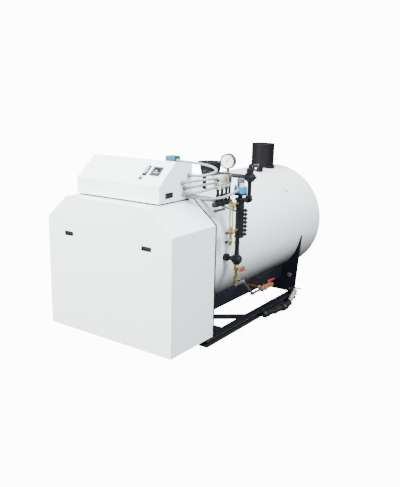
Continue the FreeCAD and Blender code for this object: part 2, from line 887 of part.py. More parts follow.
def drain_pipe():
    """Sloping pipe from the ball valve to the low run beside the shell rail."""
    top = V(train_x, drain_y, ball_z - ball_size / 2)
    bend = V(train_x, drain_y, drain_knee_z)
    knee = V(train_x - pipe_radius, drain_knee_y, drain_knee_z - drain_pipe_radius)
    low = V(drain_low_x, drain_low_y, drain_low_z)
    end = V(drain_low_x, drain_tee_y - fitting_length, drain_low_z)
    return pipe_run([top, bend, knee, low, end], drain_pipe_radius)


def drain_tee():
    """Copper tee in the low run, with a branch in to the shell above its rail."""
    centre = V(drain_low_x, drain_tee_y, drain_low_z)
    body = rod(centre - Y_AXIS * fitting_length, centre + Y_AXIS * fitting_length, fitting_round)
    branch_start = V(shell_rail_x + shell_rail_thick / 2, drain_tee_y, drain_low_z)
    branch = rod(branch_start, centre, drain_pipe_radius)
    return fuse([body, branch])


def drain_end_valve():
    """Last valve in the low run, with a stem upward for its lever."""
    start = V(drain_low_x, drain_tee_y + fitting_length, drain_low_z)
    end = V(drain_low_x, drain_end_y, drain_low_z)
    middle = (start + end) * 0.5
    top = fitting_round + bonnet_height
    body = rod(start, end, end_valve_radius)
    neck = rod(middle, middle + Z_AXIS * top, fitting_round * neck_share)
    stem = rod(middle, middle + Z_AXIS * (top + seat + lever_thick + stem_end), stem_radius)
    return fuse([body, neck, stem])


def blow_lever():
    """Red lever of the last valve, lying along the pipe when it is open."""
    y = (drain_tee_y + fitting_length + drain_end_y) / 2
    pivot = V(drain_low_x, y, drain_low_z + fitting_round + bonnet_height + seat)
    return lever(pivot, Z_AXIS, Y_AXIS, blow_lever_length, blow_lever_width)


# ---- rear valve ----
def rear_valve():
    """Small valve on the end of the base rail."""
    start = V(rear_valve_x, rail_rear_y, rear_valve_z)
    end = start + Y_AXIS * rear_valve_length
    middle = (start + end) * 0.5
    top = rear_valve_radius + rear_bonnet_height
    body = rod(start, end, rear_valve_radius)
    neck = rod(middle, middle + Z_AXIS * top, rear_valve_radius * neck_share)
    stem = rod(middle, middle + Z_AXIS * (top + seat + lever_thick + stem_end), stem_radius)
    return fuse([body, neck, stem])


def rear_lever():
    """Dark red lever that points out to the side."""
    pivot = V(rear_valve_x, rail_rear_y + rear_valve_length / 2,
              rear_valve_z + rear_valve_radius + rear_bonnet_height + seat)
    return lever(pivot, Z_AXIS, X_AXIS, rear_lever_length, lever_width)


def blowdown_line():
    """Black pipe out of the rail and back to the valve, and the short pipe behind the valve."""
    shapes = [pipe_run([blow_front, blow_corner, blow_bend, blow_valve_start], blow_radius)]
    along = blow_bend - blow_corner
    shapes.append(ball(blow_corner, blow_coupling))
    shapes.append(ball(blow_bend, blow_elbow))
    middle = (blow_corner + blow_bend) * 0.5
    union_half = along.normalize() * union_height
    shapes.append(rod(middle - union_half, middle + union_half, blow_union))
    low = fuse(shapes).cut(base_rail(1)).cut(blowdown_valve())
    high = pipe_run([blow_valve_end, V(blow_rear.x, blow_valve_end.y, blow_rear.z), blow_rear], pipe_radius)
    return group([low, high.cut(blowdown_valve())])


def blowdown_valve():
    """Bright valve body that rises to the rear from the line's end."""
    whole = rod(blow_valve_start, blow_valve_end, blow_valve_ends)
    share = (blow_valve_end - blow_valve_start) * blow_nut_share
    return whole.fuse(rod(blow_valve_start + share, blow_valve_end - share, blow_valve_radius))


# ---- conduits ----
def desk_glands():
    """Connectors on the desk's right side, one for each conduit."""
    shapes = []
    for points in conduit_routes.values():
        way = (points[1] - points[0]).normalize()
        whole = rod(points[0] - way * (gland_length + gland_thread), points[0], gland_radius)
        reach = gland_length + gland_thread + gland_radius
        inside = block(desk_half_width - reach, desk_half_width, points[0].y - reach, points[0].y + reach,
                       points[0].z - reach, points[0].z + reach)
        shapes.append(whole.cut(inside))
    return group(shapes)


def end_gland(name):
    """Connector between a conduit's far end and its device, square to the conduit."""
    before, end = conduit_routes[name][-2:]
    way = (end - before).normalize()
    return rod(end, end + way * (gland_length + gland_thread), gland_radius)


def conduit(points):
    """Tube along straight runs joined by tangent arcs; also gives its length and tightest bend."""
    edges = []
    length = 0
    radii = []
    start = points[0]
    for before, corner, after in zip(points, points[1:], points[2:]):
        back = before - corner
        ahead = after - corner
        take = SWEEP * min(back.Length, ahead.Length)
        half_turn = (math.pi - back.getAngle(ahead)) / 2
        radius = take / math.tan(half_turn)
        radii.append(radius)
        arc_start = corner + back.normalize() * take
        arc_end = corner + ahead.normalize() * take
        bisect = (back + ahead).normalize()
        middle = corner + bisect * (radius / math.cos(half_turn) - radius)
        edges.append(Part.makeLine(start, arc_start))
        edges.append(Part.Arc(arc_start, middle, arc_end).toShape())
        start = arc_end
    edges.append(Part.makeLine(start, points[-1]))
    for edge in edges:
        length += edge.Length
    path = Part.Wire(edges)
    way = points[1] - points[0]
    ring = Part.Wire([Part.makeCircle(conduit_diameter / 2, points[0], way)])
    tube = path.makePipeShell([ring], True, True)
    return tube, length, radii


def build():
    os.makedirs("parts", exist_ok=True)
    shapes = {}
    for side, word in ((1, "right"), (-1, "left")):
        shapes["base_rail_" + word] = base_rail(side)
        shapes["base_brace_" + word] = base_brace(side)
        shapes["shell_rail_" + word] = shell_rail(side)
        shapes["cabinet_side_" + word] = cabinet_side(side)
    shapes["front_cross_member"] = front_cross_member()
    shapes["front_saddle"] = saddle(front_saddle_y)
    shapes["rear_saddle"] = saddle(rear_saddle_y)
    shapes["shell"] = shell()
    shapes["front_plate"] = front_plate()
    shapes["rear_head"] = rear_head()
    shapes["cabinet_front"] = cabinet_front()
    shapes["cabinet_roof"] = cabinet_roof()
    shapes["cabinet_floor"] = cabinet_floor()
    shapes["cabinet_back"] = cabinet_back()
    shapes["cabinet_pulls"] = group([pull(-1), pull(1)])
    shapes["cabinet_trim"] = cabinet_trim()
    shapes["control_desk"] = control_desk()
    shapes["desk_plinth"] = desk_plinth()
    shapes["desk_screen"] = desk_screen()
    shapes["desk_switches"] = group([desk_switch_plate(), desk_knob()])
    shapes["desk_latch"] = desk_latch()
    shapes["desk_glands"] = desk_glands()
    shapes["flue_stack"] = flue_stack()
    shapes["flue_switch"] = flue_switch()
    shapes["steam_nozzle"] = steam_nozzle()
    shapes["vent_actuator"] = vent_actuator()
    shapes["actuator_post"] = actuator_post_tube()
    shapes["steam_pipe"] = steam_pipe()
    shapes["column_riser"] = riser()
    shapes["water_column"] = water_column()
    shapes["cutoff_base"] = cutoff_base()
    shapes["cutoff_head"] = cutoff_head()
    shapes["gauge_glass"] = gauge_glass()
    shapes["manifold"] = manifold().fuse(manifold_link()).removeSplitter()
    shapes["pressure_gauge"] = pressure_gauge()
    shapes["gauge_riser"] = gauge_riser()
    shapes["lower_pipe"] = lower_pipe()
    shapes["drain_valves"] = wheel_valve().fuse(ball_valve()).removeSplitter()
    shapes["handwheel"] = handwheel()
    shapes["ball_lever"] = ball_lever()
    shapes["drain_pipe"] = drain_pipe()
    shapes["drain_fittings"] = drain_tee().fuse(drain_end_valve()).removeSplitter()
    shapes["blow_lever"] = blow_lever()
    shapes["rear_valve"] = rear_valve()
    shapes["blowdown_valve"] = blowdown_valve()
    shapes["blowdown_line"] = blowdown_line()
    shapes["rear_lever"] = rear_lever()
    shapes["gauge_valves"] = gauge_valves()
    shapes["gauge_knobs"] = group([gauge_knob(glass_bottom_z), gauge_knob(glass_bottom_z - cock_drop)])
    shapes["pressure_controls"] = pressure_controls()
    for name, points in conduit_routes.items():
        tube, length, radii = conduit(points)
        shapes[name] = tube
        print(name, round(length, 1), [round(r, 1) for r in radii], round(tube.Volume / length, 1))
    for name, shape in shapes.items():
        save(shape, name)
        if not shape.isValid():
            print("not valid:", name)
    print(len(shapes), "nodes")


build()
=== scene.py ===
import bmesh
import bpy
import json
import math
from mathutils import Matrix, Vector


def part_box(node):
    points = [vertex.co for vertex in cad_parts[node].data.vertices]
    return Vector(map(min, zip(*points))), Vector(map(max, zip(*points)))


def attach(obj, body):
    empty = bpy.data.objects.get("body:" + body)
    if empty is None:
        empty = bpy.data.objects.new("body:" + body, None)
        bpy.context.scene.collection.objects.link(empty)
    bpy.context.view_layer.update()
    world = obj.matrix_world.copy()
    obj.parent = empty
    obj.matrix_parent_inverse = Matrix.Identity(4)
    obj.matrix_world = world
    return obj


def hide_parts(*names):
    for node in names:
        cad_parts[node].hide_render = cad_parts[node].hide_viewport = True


# Looks of the packaged boiler: materials on the CAD nodes, and the small things that sheet
# metal, valves and pipework carry. Lengths are in metres, in the row frame, except the places
# of the fittings below, which are in millimetres as part.py has them.

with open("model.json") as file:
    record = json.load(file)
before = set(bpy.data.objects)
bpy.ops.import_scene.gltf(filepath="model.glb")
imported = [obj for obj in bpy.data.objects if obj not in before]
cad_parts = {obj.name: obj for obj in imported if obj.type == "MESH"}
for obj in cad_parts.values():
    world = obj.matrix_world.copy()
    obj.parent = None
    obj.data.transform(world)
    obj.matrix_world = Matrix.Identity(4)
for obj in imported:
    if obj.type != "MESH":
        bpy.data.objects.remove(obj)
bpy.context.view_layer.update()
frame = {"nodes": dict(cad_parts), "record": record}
BODY = "boiler"
X, Y, Z = Vector((1, 0, 0)), Vector((0, 1, 0)), Vector((0, 0, 1))
JOINTS = {joint["name"]: joint for joint in frame["record"]["behaviour"]["joints"]}
WHEEL_WAY = Vector(JOINTS["handwheel_turn"]["axis"]).normalized()

# ---- places of the fittings, in millimetres, as part.py has them ----
STACK_Y = 850
NOZZLE_Y = -100
POST_X, POST_Y = 112, -797
PULL_X, PULL_Z = 378, 898
TRAIN_X = 650               # riser, water column, gauge glass and drain train
RISER_Y, STEAM_PIPE_Z = -528, 1333
RISER_FOOT_Z, RISER_UNION_Z, RISER_TOP_Z = 1162, 1374.5, 1419
STEAM_NIPPLE_X = 230
DRAIN_Y, LOW_CROSS_Z = -682, 716
LOW_UNION_X = 556
COLUMN_Y, COLUMN_TOP_Z = -660, 1186
BOSS_LOW_Z, BOSS_HIGH_Z, BOSSES = 910, 1094, 7
GLASS_Y, GLASS_LOW_Z, GLASS_HIGH_Z = -780, 948, 1150
GLASS_DRAIN_Z = 878
KNOB_REACH = 65             # from the gauge glass to a cock knob's face
MANIFOLD_FRONT_Y, MANIFOLD_REAR_Y, MANIFOLD_Z = -912, -712, 1158
CONTROL_X, CONTROL_Y, CONTROL_STEP, CONTROLS = 580, -865, 57, 3
GAUGE_X, GAUGE_Y, GAUGE_Z = 571, -736, 1462
BRASS_VALVE_Z, BALL_VALVE_Z = 654, 556
LOW_RUN_X, LOW_RUN_Z = 500, 262
LOW_RUN_START_Y, TEE_Y, SLEEVE_Y, BLOW_VALVE_Y, LOW_RUN_END_Y = -142, 60, 96, 154, 214
BLOW_CORNER, BLOW_BEND = (552, 20, 36), (604, 304, 37)
BLOW_VALVE_START, BLOW_VALVE_END = (590, 430, 44), (546, 640, 98)
REAR_VALVE = (440, 740, 32)
CLIP_Y, PLATE_Y = 600, -590
SADDLE_CAP_X, SADDLE_CAP_Z = 439, 223

# part.py measures from the shell's centre plane; this brings its places to the row frame
STACK_LOW, STACK_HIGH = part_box("flue_stack")
SHIFT = Vector(((STACK_LOW.x + STACK_HIGH.x) / 2, (STACK_LOW.y + STACK_HIGH.y) / 2 - STACK_Y / 1000, 0))
SHELL_LOW, SHELL_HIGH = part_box("shell")
SHELL_RADIUS = (SHELL_HIGH.x - SHELL_LOW.x) / 2
SHELL_CENTRE_Z = (SHELL_LOW.z + SHELL_HIGH.z) / 2


# ---- materials ----
def link(tree, a, b):
    tree.links.new(a, b)


def new_tree(name):
    mat = bpy.data.materials.new(name)
    mat.use_nodes = True
    tree = mat.node_tree
    tree.nodes.clear()
    out = tree.nodes.new("ShaderNodeOutputMaterial")
    shader = tree.nodes.new("ShaderNodeBsdfPrincipled")
    link(tree, shader.outputs[0], out.inputs[0])
    return mat, tree, shader


def noise(tree, scale, detail=4.0, rough=0.55):
    place = tree.nodes.new("ShaderNodeTexCoord")
    tex = tree.nodes.new("ShaderNodeTexNoise")
    tex.inputs["Scale"].default_value = scale
    tex.inputs["Detail"].default_value = detail
    tex.inputs["Roughness"].default_value = rough
    link(tree, place.outputs["Object"], tex.inputs[0])
    return tex.outputs["Fac"]


def ramp(tree, fac, stops):
    node = tree.nodes.new("ShaderNodeValToRGB")
    points = node.color_ramp.elements
    while len(points) < len(stops):
        points.new(0.5)
    for point, (place, value) in zip(points, stops):
        point.position = place
        colour = value if isinstance(value, tuple) else (value, value, value)
        point.color = (*colour, 1)
    link(tree, fac, node.inputs[0])
    return node.outputs[0]


def mix(tree, fac, a, b, mode="MIX"):
    node = tree.nodes.new("ShaderNodeMix")
    node.data_type = "RGBA"
    node.blend_type = mode
    for socket, value in ((node.inputs[0], fac), (node.inputs[6], a), (node.inputs[7], b)):
        if isinstance(value, (int, float)):
            socket.default_value = value
        elif isinstance(value, tuple):
            socket.default_value = (*value, 1)
        else:
            link(tree, value, socket)
    return node.outputs[2]


def edge_mask(tree, width):
    """White along convex edges, from the difference of a bevelled and a flat normal."""
    bevel = tree.nodes.new("ShaderNodeBevel")
    bevel.samples = 4
    bevel.inputs["Radius"].default_value = width
    geometry = tree.nodes.new("ShaderNodeNewGeometry")
    dot = tree.nodes.new("ShaderNodeVectorMath")
    dot.operation = "DOT_PRODUCT"
    link(tree, bevel.outputs[0], dot.inputs[0])
    link(tree, geometry.outputs["Normal"], dot.inputs[1])
    return ramp(tree, dot.outputs["Value"], [(0.75, 1.0), (0.97, 0.0)])


def bump(tree, shader, height, strength, distance, edge=0.0):
    node = tree.nodes.new("ShaderNodeBump")
    node.inputs["Strength"].default_value = strength
    node.inputs["Distance"].default_value = distance
    link(tree, height, node.inputs["Height"])
    if edge:
        bevel = tree.nodes.new("ShaderNodeBevel")
        bevel.samples = 4
        bevel.inputs["Radius"].default_value = edge
        link(tree, bevel.outputs[0], node.inputs["Normal"])
    link(tree, node.outputs[0], shader.inputs["Normal"])


def surface(name, colour, dark=None, metallic=0.0, rough=(0.35, 0.5), grain=60, patch=4.0,
            grain_height=0.0002, strength=0.25, edge=None, edge_width=0.003, coat=0.0, round_edge=0.0,
            specular=0.5, dust_and_shade=None, dust_and_shade_heights=None):
    """Painted or bare surface: slow colour drift, fine grain in the bump, edges in a colour of their own:
    wear on most, painted highlights along the rib crests of the conduits.

    Between the two given heights the colour goes over to a dust-and-shade colour below them: real dust at
    the foot of the skid, painted shade over the lower half of the shell's jacket."""
    mat, tree, shader = new_tree(name)
    dark = dark or tuple(c * 0.82 for c in colour)
    slow = noise(tree, patch, 5.0)
    tint = ramp(tree, slow, [(0.3, dark), (0.65, colour)])
    fine = noise(tree, grain, 6.0, 0.65)
    speck = ramp(tree, fine, [(0.3, 0.88), (0.7, 1.0)])
    tint = mix(tree, 1.0, tint, speck, "MULTIPLY")
    if dust_and_shade:
        place = tree.nodes.new("ShaderNodeNewGeometry")
        axes = tree.nodes.new("ShaderNodeSeparateXYZ")
        link(tree, place.outputs["Position"], axes.inputs[0])
        span = tree.nodes.new("ShaderNodeMapRange")
        span.inputs["From Min"].default_value = dust_and_shade_heights[0]
        span.inputs["From Max"].default_value = dust_and_shade_heights[1]
        span.inputs["To Min"].default_value = 1.0
        span.inputs["To Max"].default_value = 0.0
        link(tree, axes.outputs["Z"], span.inputs["Value"])
        tint = mix(tree, span.outputs[0], tint, dust_and_shade)
    if edge:
        tint = mix(tree, edge_mask(tree, edge_width), tint, edge)
    link(tree, tint, shader.inputs["Base Color"])
    shader.inputs["Metallic"].default_value = metallic
    shader.inputs["Coat Weight"].default_value = coat
    shader.inputs["Coat Roughness"].default_value = 0.2
    shader.inputs["Specular IOR Level"].default_value = specular
    link(tree, ramp(tree, fine, [(0.3, rough[0]), (0.7, rough[1])]), shader.inputs["Roughness"])
    bump(tree, shader, fine, strength, grain_height, round_edge)
    return mat


def glass_like(name):
    mat, tree, shader = new_tree(name)
    haze = ramp(tree, noise(tree, 40), [(0.35, (0.86, 0.9, 0.84)), (0.7, (0.97, 0.98, 0.96))])
    link(tree, haze, shader.inputs["Base Color"])
    shader.inputs["Transmission Weight"].default_value = 0.85
    shader.inputs["Roughness"].default_value = 0.08
    shader.inputs["IOR"].default_value = 1.45
    return mat


M = {
    "cabinet": surface("cabinet_paint", (0.80, 0.865, 0.885), (0.775, 0.845, 0.868), rough=(0.3, 0.42),
                       grain=240, patch=1.6, grain_height=0.00012, strength=0.18, coat=0.15,
                       edge=(0.88, 0.91, 0.93), edge_width=0.002, round_edge=0.003),
    # Painted shade: towards the bottom of the shell the jacket's colour goes over to near black, standing
    # in for the shade under it.
    "jacket": surface("jacket_paint", (0.77, 0.825, 0.84), (0.74, 0.80, 0.815), rough=(0.24, 0.34),
                      grain=180, patch=1.2, grain_height=0.0001, strength=0.15, coat=0.3,
                      round_edge=0.003, dust_and_shade=(0.020, 0.027, 0.022), dust_and_shade_heights=(0.34, 0.66)),
    "skid": surface("skid_paint", (0.008, 0.009, 0.014), (0.004, 0.005, 0.008), rough=(0.4, 0.62),
                    grain=90, patch=6, strength=0.4, edge=(0.10, 0.10, 0.115), edge_width=0.003,
                    round_edge=0.002, dust_and_shade=(0.022, 0.021, 0.020), dust_and_shade_heights=(0.0, 0.04),
                    specular=0.15),
    "trim": surface("trim_rubber", (0.010, 0.010, 0.012), rough=(0.5, 0.7), grain=300,
                    strength=0.3, round_edge=0.002, specular=0.1),
    "pull": surface("pull_plastic", (0.008, 0.008, 0.010), rough=(0.3, 0.5), grain=400,
                    strength=0.2, edge=(0.06, 0.06, 0.065), edge_width=0.0015, round_edge=0.001,
                    specular=0.2),
    "stack": surface("stack_paint", (0.006, 0.0055, 0.006), (0.003, 0.003, 0.0045), rough=(0.45, 0.7),
                     grain=120, patch=8, strength=0.45, edge=(0.07, 0.06, 0.055), edge_width=0.003,
                     specular=0.08),
    "pipe": surface("pipe_iron", (0.007, 0.007, 0.009), (0.004, 0.004, 0.006), rough=(0.32, 0.6),
                    grain=160, patch=14, grain_height=0.0005, strength=0.5,
                    edge=(0.06, 0.06, 0.07), edge_width=0.002, specular=0.2),
    "teal": surface("teal_paint", (0.010, 0.10, 0.15), (0.007, 0.07, 0.11), rough=(0.3, 0.45),
                    grain=140, patch=10, edge=(0.2, 0.4, 0.45), edge_width=0.002, round_edge=0.003),
    "blue": surface("cutoff_cover", (0.006, 0.24, 0.52), (0.005, 0.17, 0.40), rough=(0.2, 0.35),
                    grain=200, patch=16, coat=0.4, round_edge=0.004),
    "control": surface("control_cover", (0.62, 0.72, 0.60), (0.52, 0.63, 0.53), rough=(0.3, 0.45),
                       grain=180, patch=14, coat=0.2, round_edge=0.003),
    "chrome": surface("bright_bezel", (0.62, 0.63, 0.66), (0.45, 0.46, 0.5), metallic=1.0,
                      rough=(0.12, 0.25), grain=220, strength=0.1),
    "brass": surface("brass_body", (0.34, 0.29, 0.085), (0.16, 0.15, 0.06), metallic=0.75,
                     rough=(0.25, 0.5), grain=150, patch=22, strength=0.35,
                     edge=(0.62, 0.57, 0.32), edge_width=0.0015),
    "copper": surface("copper_body", (0.52, 0.20, 0.075), (0.30, 0.095, 0.04), metallic=0.8,
                      rough=(0.25, 0.5), grain=130, patch=24, strength=0.35,
                      edge=(0.82, 0.52, 0.30), edge_width=0.002),
    "steel": surface("grey_steel", (0.17, 0.175, 0.19), (0.09, 0.095, 0.105), metallic=0.85,
                     rough=(0.3, 0.55), grain=140, patch=18, strength=0.35,
                     edge=(0.42, 0.43, 0.45), edge_width=0.0015),
    "silver": surface("bright_steel", (0.66, 0.66, 0.62), (0.45, 0.45, 0.42), metallic=0.7,
                      rough=(0.25, 0.45), grain=140, patch=18, strength=0.3),
    "knob": surface("knob_plastic", (0.010, 0.010, 0.012), rough=(0.25, 0.4), grain=240,
                    edge=(0.08, 0.08, 0.09), edge_width=0.001),
    "red": surface("red_grip", (0.30, 0.016, 0.012), (0.17, 0.010, 0.009), rough=(0.3, 0.5),
                   grain=180, patch=20, edge=(0.6, 0.12, 0.08), edge_width=0.001, coat=0.2),
    "disc": surface("wheel_disc", (0.20, 0.045, 0.040), (0.11, 0.022, 0.022), rough=(0.35, 0.55),
                    grain=180, patch=30, edge=(0.42, 0.16, 0.13), edge_width=0.001),
    "cap": surface("saddle_cap", (0.085, 0.075, 0.11), (0.05, 0.045, 0.07), rough=(0.4, 0.6),
                   grain=160, patch=30, edge=(0.2, 0.18, 0.24), edge_width=0.001),
    "dark_red": surface("dark_red_grip", (0.12, 0.010, 0.012), (0.06, 0.006, 0.008),
                        rough=(0.35, 0.55), grain=180, patch=20, edge=(0.3, 0.06, 0.05),
                        edge_width=0.001),
    "wheel_rim": surface("wheel_rim", (0.30, 0.21, 0.12), (0.18, 0.12, 0.07), metallic=0.3,
                         rough=(0.3, 0.5), grain=160, patch=26, edge=(0.75, 0.68, 0.56),
                         edge_width=0.001),
    "screen_frame": surface("screen_frame", (0.055, 0.06, 0.07), (0.04, 0.045, 0.055),
                            rough=(0.25, 0.4), grain=260, edge=(0.16, 0.17, 0.18),
                            edge_width=0.001, coat=0.3),
    "screen_glass": surface("screen_glass", (0.006, 0.008, 0.012), rough=(0.05, 0.12), grain=40,
                            strength=0.05, coat=0.8),
    "screen_bar": surface("screen_bar", (0.36, 0.40, 0.42), (0.28, 0.31, 0.34), rough=(0.3, 0.4),
                          grain=120),
    "dial": surface("dial_face", (0.80, 0.80, 0.80), (0.76, 0.76, 0.77), rough=(0.3, 0.4),
                    grain=160, strength=0.05),
    "ink": surface("dial_ink", (0.012, 0.012, 0.016), rough=(0.4, 0.5), grain=200),
    "lamp": surface("switch_face", (0.60, 0.64, 0.66), (0.5, 0.54, 0.57), rough=(0.3, 0.45),
                    grain=200, coat=0.2),
    "plate": surface("data_plate", (0.10, 0.11, 0.13), (0.06, 0.065, 0.08), metallic=0.6,
                     rough=(0.3, 0.5), grain=200, edge=(0.4, 0.42, 0.44), edge_width=0.001),
    # Painted highlights: the conduits' rib crests take the much lighter edge colour, where light would
    # catch the corrugation.
    "conduit": surface("conduit_grey", (0.23, 0.27, 0.29), (0.15, 0.18, 0.20), rough=(0.3, 0.5),
                       grain=220, patch=30, strength=0.3, edge=(0.62, 0.66, 0.68), edge_width=0.001),
    "gland": surface("gland_zinc", (0.26, 0.28, 0.30), (0.16, 0.18, 0.20), metallic=0.6,
                     rough=(0.3, 0.5), grain=180, patch=30, edge=(0.7, 0.72, 0.74),
                     edge_width=0.001),
    "bolt": surface("zinc_bolt", (0.42, 0.43, 0.44), (0.28, 0.28, 0.29), metallic=0.9,
                    rough=(0.3, 0.5), grain=200, patch=40),
    "terminal": surface("terminal_block", (0.62, 0.52, 0.52), (0.5, 0.42, 0.43), rough=(0.35, 0.5),
                        grain=200, patch=30),
    "tan": surface("tan_cover", (0.36, 0.27, 0.19), (0.25, 0.19, 0.13), rough=(0.3, 0.5), grain=160,
                   patch=20, edge=(0.55, 0.45, 0.36), edge_width=0.001),
    "bronze": surface("bronze_body", (0.60, 0.42, 0.30), (0.42, 0.27, 0.18), metallic=0.6,
                      rough=(0.3, 0.5), grain=130, patch=24, edge=(0.82, 0.68, 0.56), edge_width=0.002),
    "rim_dark": surface("gauge_rim", (0.05, 0.052, 0.062), (0.03, 0.032, 0.04), metallic=0.5,
                        rough=(0.2, 0.35), grain=200, edge=(0.3, 0.31, 0.34), edge_width=0.001),
    "glass": glass_like("gauge_glass_clear"),
}

NODE_LOOKS = {
    "skid": ["base_rail_left", "base_rail_right", "base_brace_left", "base_brace_right",
             "front_cross_member", "front_saddle", "rear_saddle", "shell_rail_left",
             "shell_rail_right"],
    "jacket": ["shell", "front_plate", "rear_head"],
    "cabinet": ["cabinet_front", "cabinet_side_left", "cabinet_side_right", "cabinet_roof",
                "cabinet_floor", "cabinet_back", "control_desk"],
    "trim": ["cabinet_trim", "desk_plinth"],
    "pull": ["cabinet_pulls", "desk_latch", "desk_switches"],
    "screen_frame": ["desk_screen"],
    "stack": ["flue_stack", "steam_nozzle", "flue_switch"],
    "pipe": ["steam_pipe", "column_riser", "water_column", "lower_pipe", "manifold",
             "actuator_post", "cutoff_base", "gauge_riser", "blowdown_line"],
    "teal": ["vent_actuator"],
    "blue": ["cutoff_head"],
    "control": ["pressure_controls"],
    "chrome": ["pressure_gauge"],
    "glass": ["gauge_glass"],
    "brass": ["gauge_valves", "drain_valves"],
    "copper": ["drain_fittings"],
    "steel": ["drain_pipe"],
    "silver": ["rear_valve", "blowdown_valve"],
    "knob": ["gauge_knobs", "ball_lever"],
    "wheel_rim": ["handwheel"],
    "red": ["blow_lever"],
    "dark_red": ["rear_lever"],
    "gland": ["desk_glands"],
}
CAD_SHARP = 32              # degrees between faces from which a CAD edge stays sharp
for look, names in NODE_LOOKS.items():
    for node_name in names:
        mesh = frame["nodes"][node_name].data
        mesh.materials.clear()
        mesh.materials.append(M[look])
        mesh.shade_smooth()
        mesh.set_sharp_from_angle(angle=math.radians(CAD_SHARP))


# ---- making pieces ----
def at(x, y, z):
    """A point measured as in part.py, in millimetres, in the row frame."""
    return Vector((x, y, z)) / 1000 + SHIFT


def pivot(joint):
    """The point that a joint turns about, in the row frame."""
    return Vector(JOINTS[joint]["pos_m"])


def level(spot, height):
    """The point over or under a spot, at that height in metres."""
    return Vector((spot.x, spot.y, height))


def basis(way):
    """A matrix whose Z is the way, with X level where it can be."""
    z = Vector(way).normalized()
    x = Z.cross(z)
    if x.length < 1e-4:
        x = X.copy()
    x.normalize()
    y = z.cross(x)
    return Matrix((x, y, z)).transposed().to_4x4()


def put_plain(bm, part):
    """Moves a small bmesh into bm as it lies."""
    mesh = bpy.data.meshes.new("bit")
    part.to_mesh(mesh)
    part.free()
    bm.from_mesh(mesh)
    bpy.data.meshes.remove(mesh)


def put(bm, part, place, way, spin=0.0):
    """Moves a small bmesh into bm at a place, its Z along the way."""
    part.transform(Matrix.Translation(place) @ basis(way) @ Matrix.Rotation(spin, 4, "Z"))
    put_plain(bm, part)


def lathe(profile, sides=24):
    """Solid of revolution about Z from (radius, height) pairs, closed at both ends."""
    bm = bmesh.new()
    rings = []
    for radius, height in profile:
        if radius < 1e-7:
            rings.append([bm.verts.new((0, 0, height))])
            continue
        ring = []
        for number in range(sides):
            angle = 2 * math.pi * number / sides
            ring.append(bm.verts.new((radius * math.cos(angle), radius * math.sin(angle), height)))
        rings.append(ring)
    for low, high in zip(rings, rings[1:]):
        for number in range(sides):
            after = (number + 1) % sides
            if len(low) == 1 and len(high) == 1:
                continue
            if len(low) == 1:
                bm.faces.new((low[0], high[after], high[number]))
            elif len(high) == 1:
                bm.faces.new((low[number], low[after], high[0]))
            else:
                bm.faces.new((low[number], low[after], high[after], high[number]))
    for ring, back in ((rings[0], True), (rings[-1], False)):
        if len(ring) > 1:
            bm.faces.new(list(reversed(ring)) if back else ring)
    bmesh.ops.recalc_face_normals(bm, faces=bm.faces)
    return bm


def slab(width, depth, height, bevel=0.0008, segments=2):
    """Box about the origin's XY, from 0 up, with rounded edges."""
    bm = bmesh.new()
    bmesh.ops.create_cube(bm, size=1)
    bmesh.ops.scale(bm, vec=(width, depth, height), verts=bm.verts)
    bmesh.ops.translate(bm, vec=(0, 0, height / 2), verts=bm.verts)
    bmesh.ops.bevel(bm, geom=bm.edges[:], offset=bevel, segments=segments, affect="EDGES")
    return bm


def hexagon(radius, height, bevel=0.0008):
    """Hexagon nut with its corners turned off at both ends."""
    profile = [(radius - bevel * 2, 0), (radius, bevel), (radius, height - bevel),
               (radius - bevel * 2, height)]
    return lathe(profile, 6)


def open_ends(bm):
    """Takes the flat ends off a lathed solid, which leaves a ring."""
    ends = [face for face in bm.faces if len(face.verts) > 4]
    bmesh.ops.delete(bm, geom=ends, context="FACES_ONLY")
    return bm


def to_piece(name, bm, look, slot, body=BODY, smooth=35):
    """A visible piece out of a bmesh, with its look, riding on a body."""
    mesh = bpy.data.meshes.new(name)
    bm.to_mesh(mesh)
    bm.free()
    mesh.shade_smooth()
    mesh.set_sharp_from_angle(angle=math.radians(smooth))
    mesh.materials.append(M[look])
    piece = bpy.data.objects.new(name, mesh)
    bpy.context.scene.collection.objects.link(piece)
    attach(piece, body)
    return piece


# ---- small pieces shared by many places ----
def many(name, bits, look, slot, body=BODY):
    """One piece out of small solids: a bmesh, its place, its way and maybe a spin each."""
    bm = bmesh.new()
    for bit in bits:
        put(bm, *bit)
    return to_piece(name, bm, look, slot, body)


def band(radius, width, proud=0.0022):
    """Rolled bead round the end of a fitting."""
    top = radius + proud
    return lathe([(radius - 0.001, 0), (top - 0.001, 0.0004), (top, 0.0016), (top, width - 0.0016),
                  (top - 0.001, width - 0.0004), (radius - 0.001, width)], 28)


def screw(radius):
    """Pan head screw with a cross slot."""
    bm = lathe([(radius, 0), (radius * 0.96, radius * 0.3), (radius * 0.6, radius * 0.55),
                (0, radius * 0.62)], 16)
    for turn in (0, math.pi / 2):
        bar = slab(radius * 1.3, radius * 0.26, radius * 0.12, radius * 0.03, 1)
        put(bm, bar, Vector((0, 0, radius * 0.56)), Z, turn)
    return bm


def bolt(radius, height):
    """Hexagon head on a washer."""
    bm = lathe([(radius * 1.25, 0), (radius * 1.25, height * 0.2), (radius, height * 0.2)], 20)
    put(bm, hexagon(radius, height), Vector((0, 0, height * 0.1)), Z)
    return bm


def plug(radius, height):
    """Square-headed pipe plug with a round shoulder."""
    bm = lathe([(radius, 0), (radius, height * 0.35), (radius * 0.86, height * 0.45)], 24)
    side = radius * 1.05
    put(bm, slab(side, side, height * 0.65, 0.0008), Vector((0, 0, height * 0.4)), Z)
    return bm


def bonnet(radius, height):
    """Stepped valve bonnet with a packing nut."""
    bm = lathe([(radius, 0), (radius, height * 0.25), (radius * 0.75, height * 0.35),
                (radius * 0.6, height * 0.6), (radius * 0.6, height * 0.7)], 24)
    put(bm, hexagon(radius * 0.72, height * 0.35), Vector((0, 0, height * 0.65)), Z)
    return bm


RINGS_IN_PITCH = 4          # rows of points along one rib and its groove


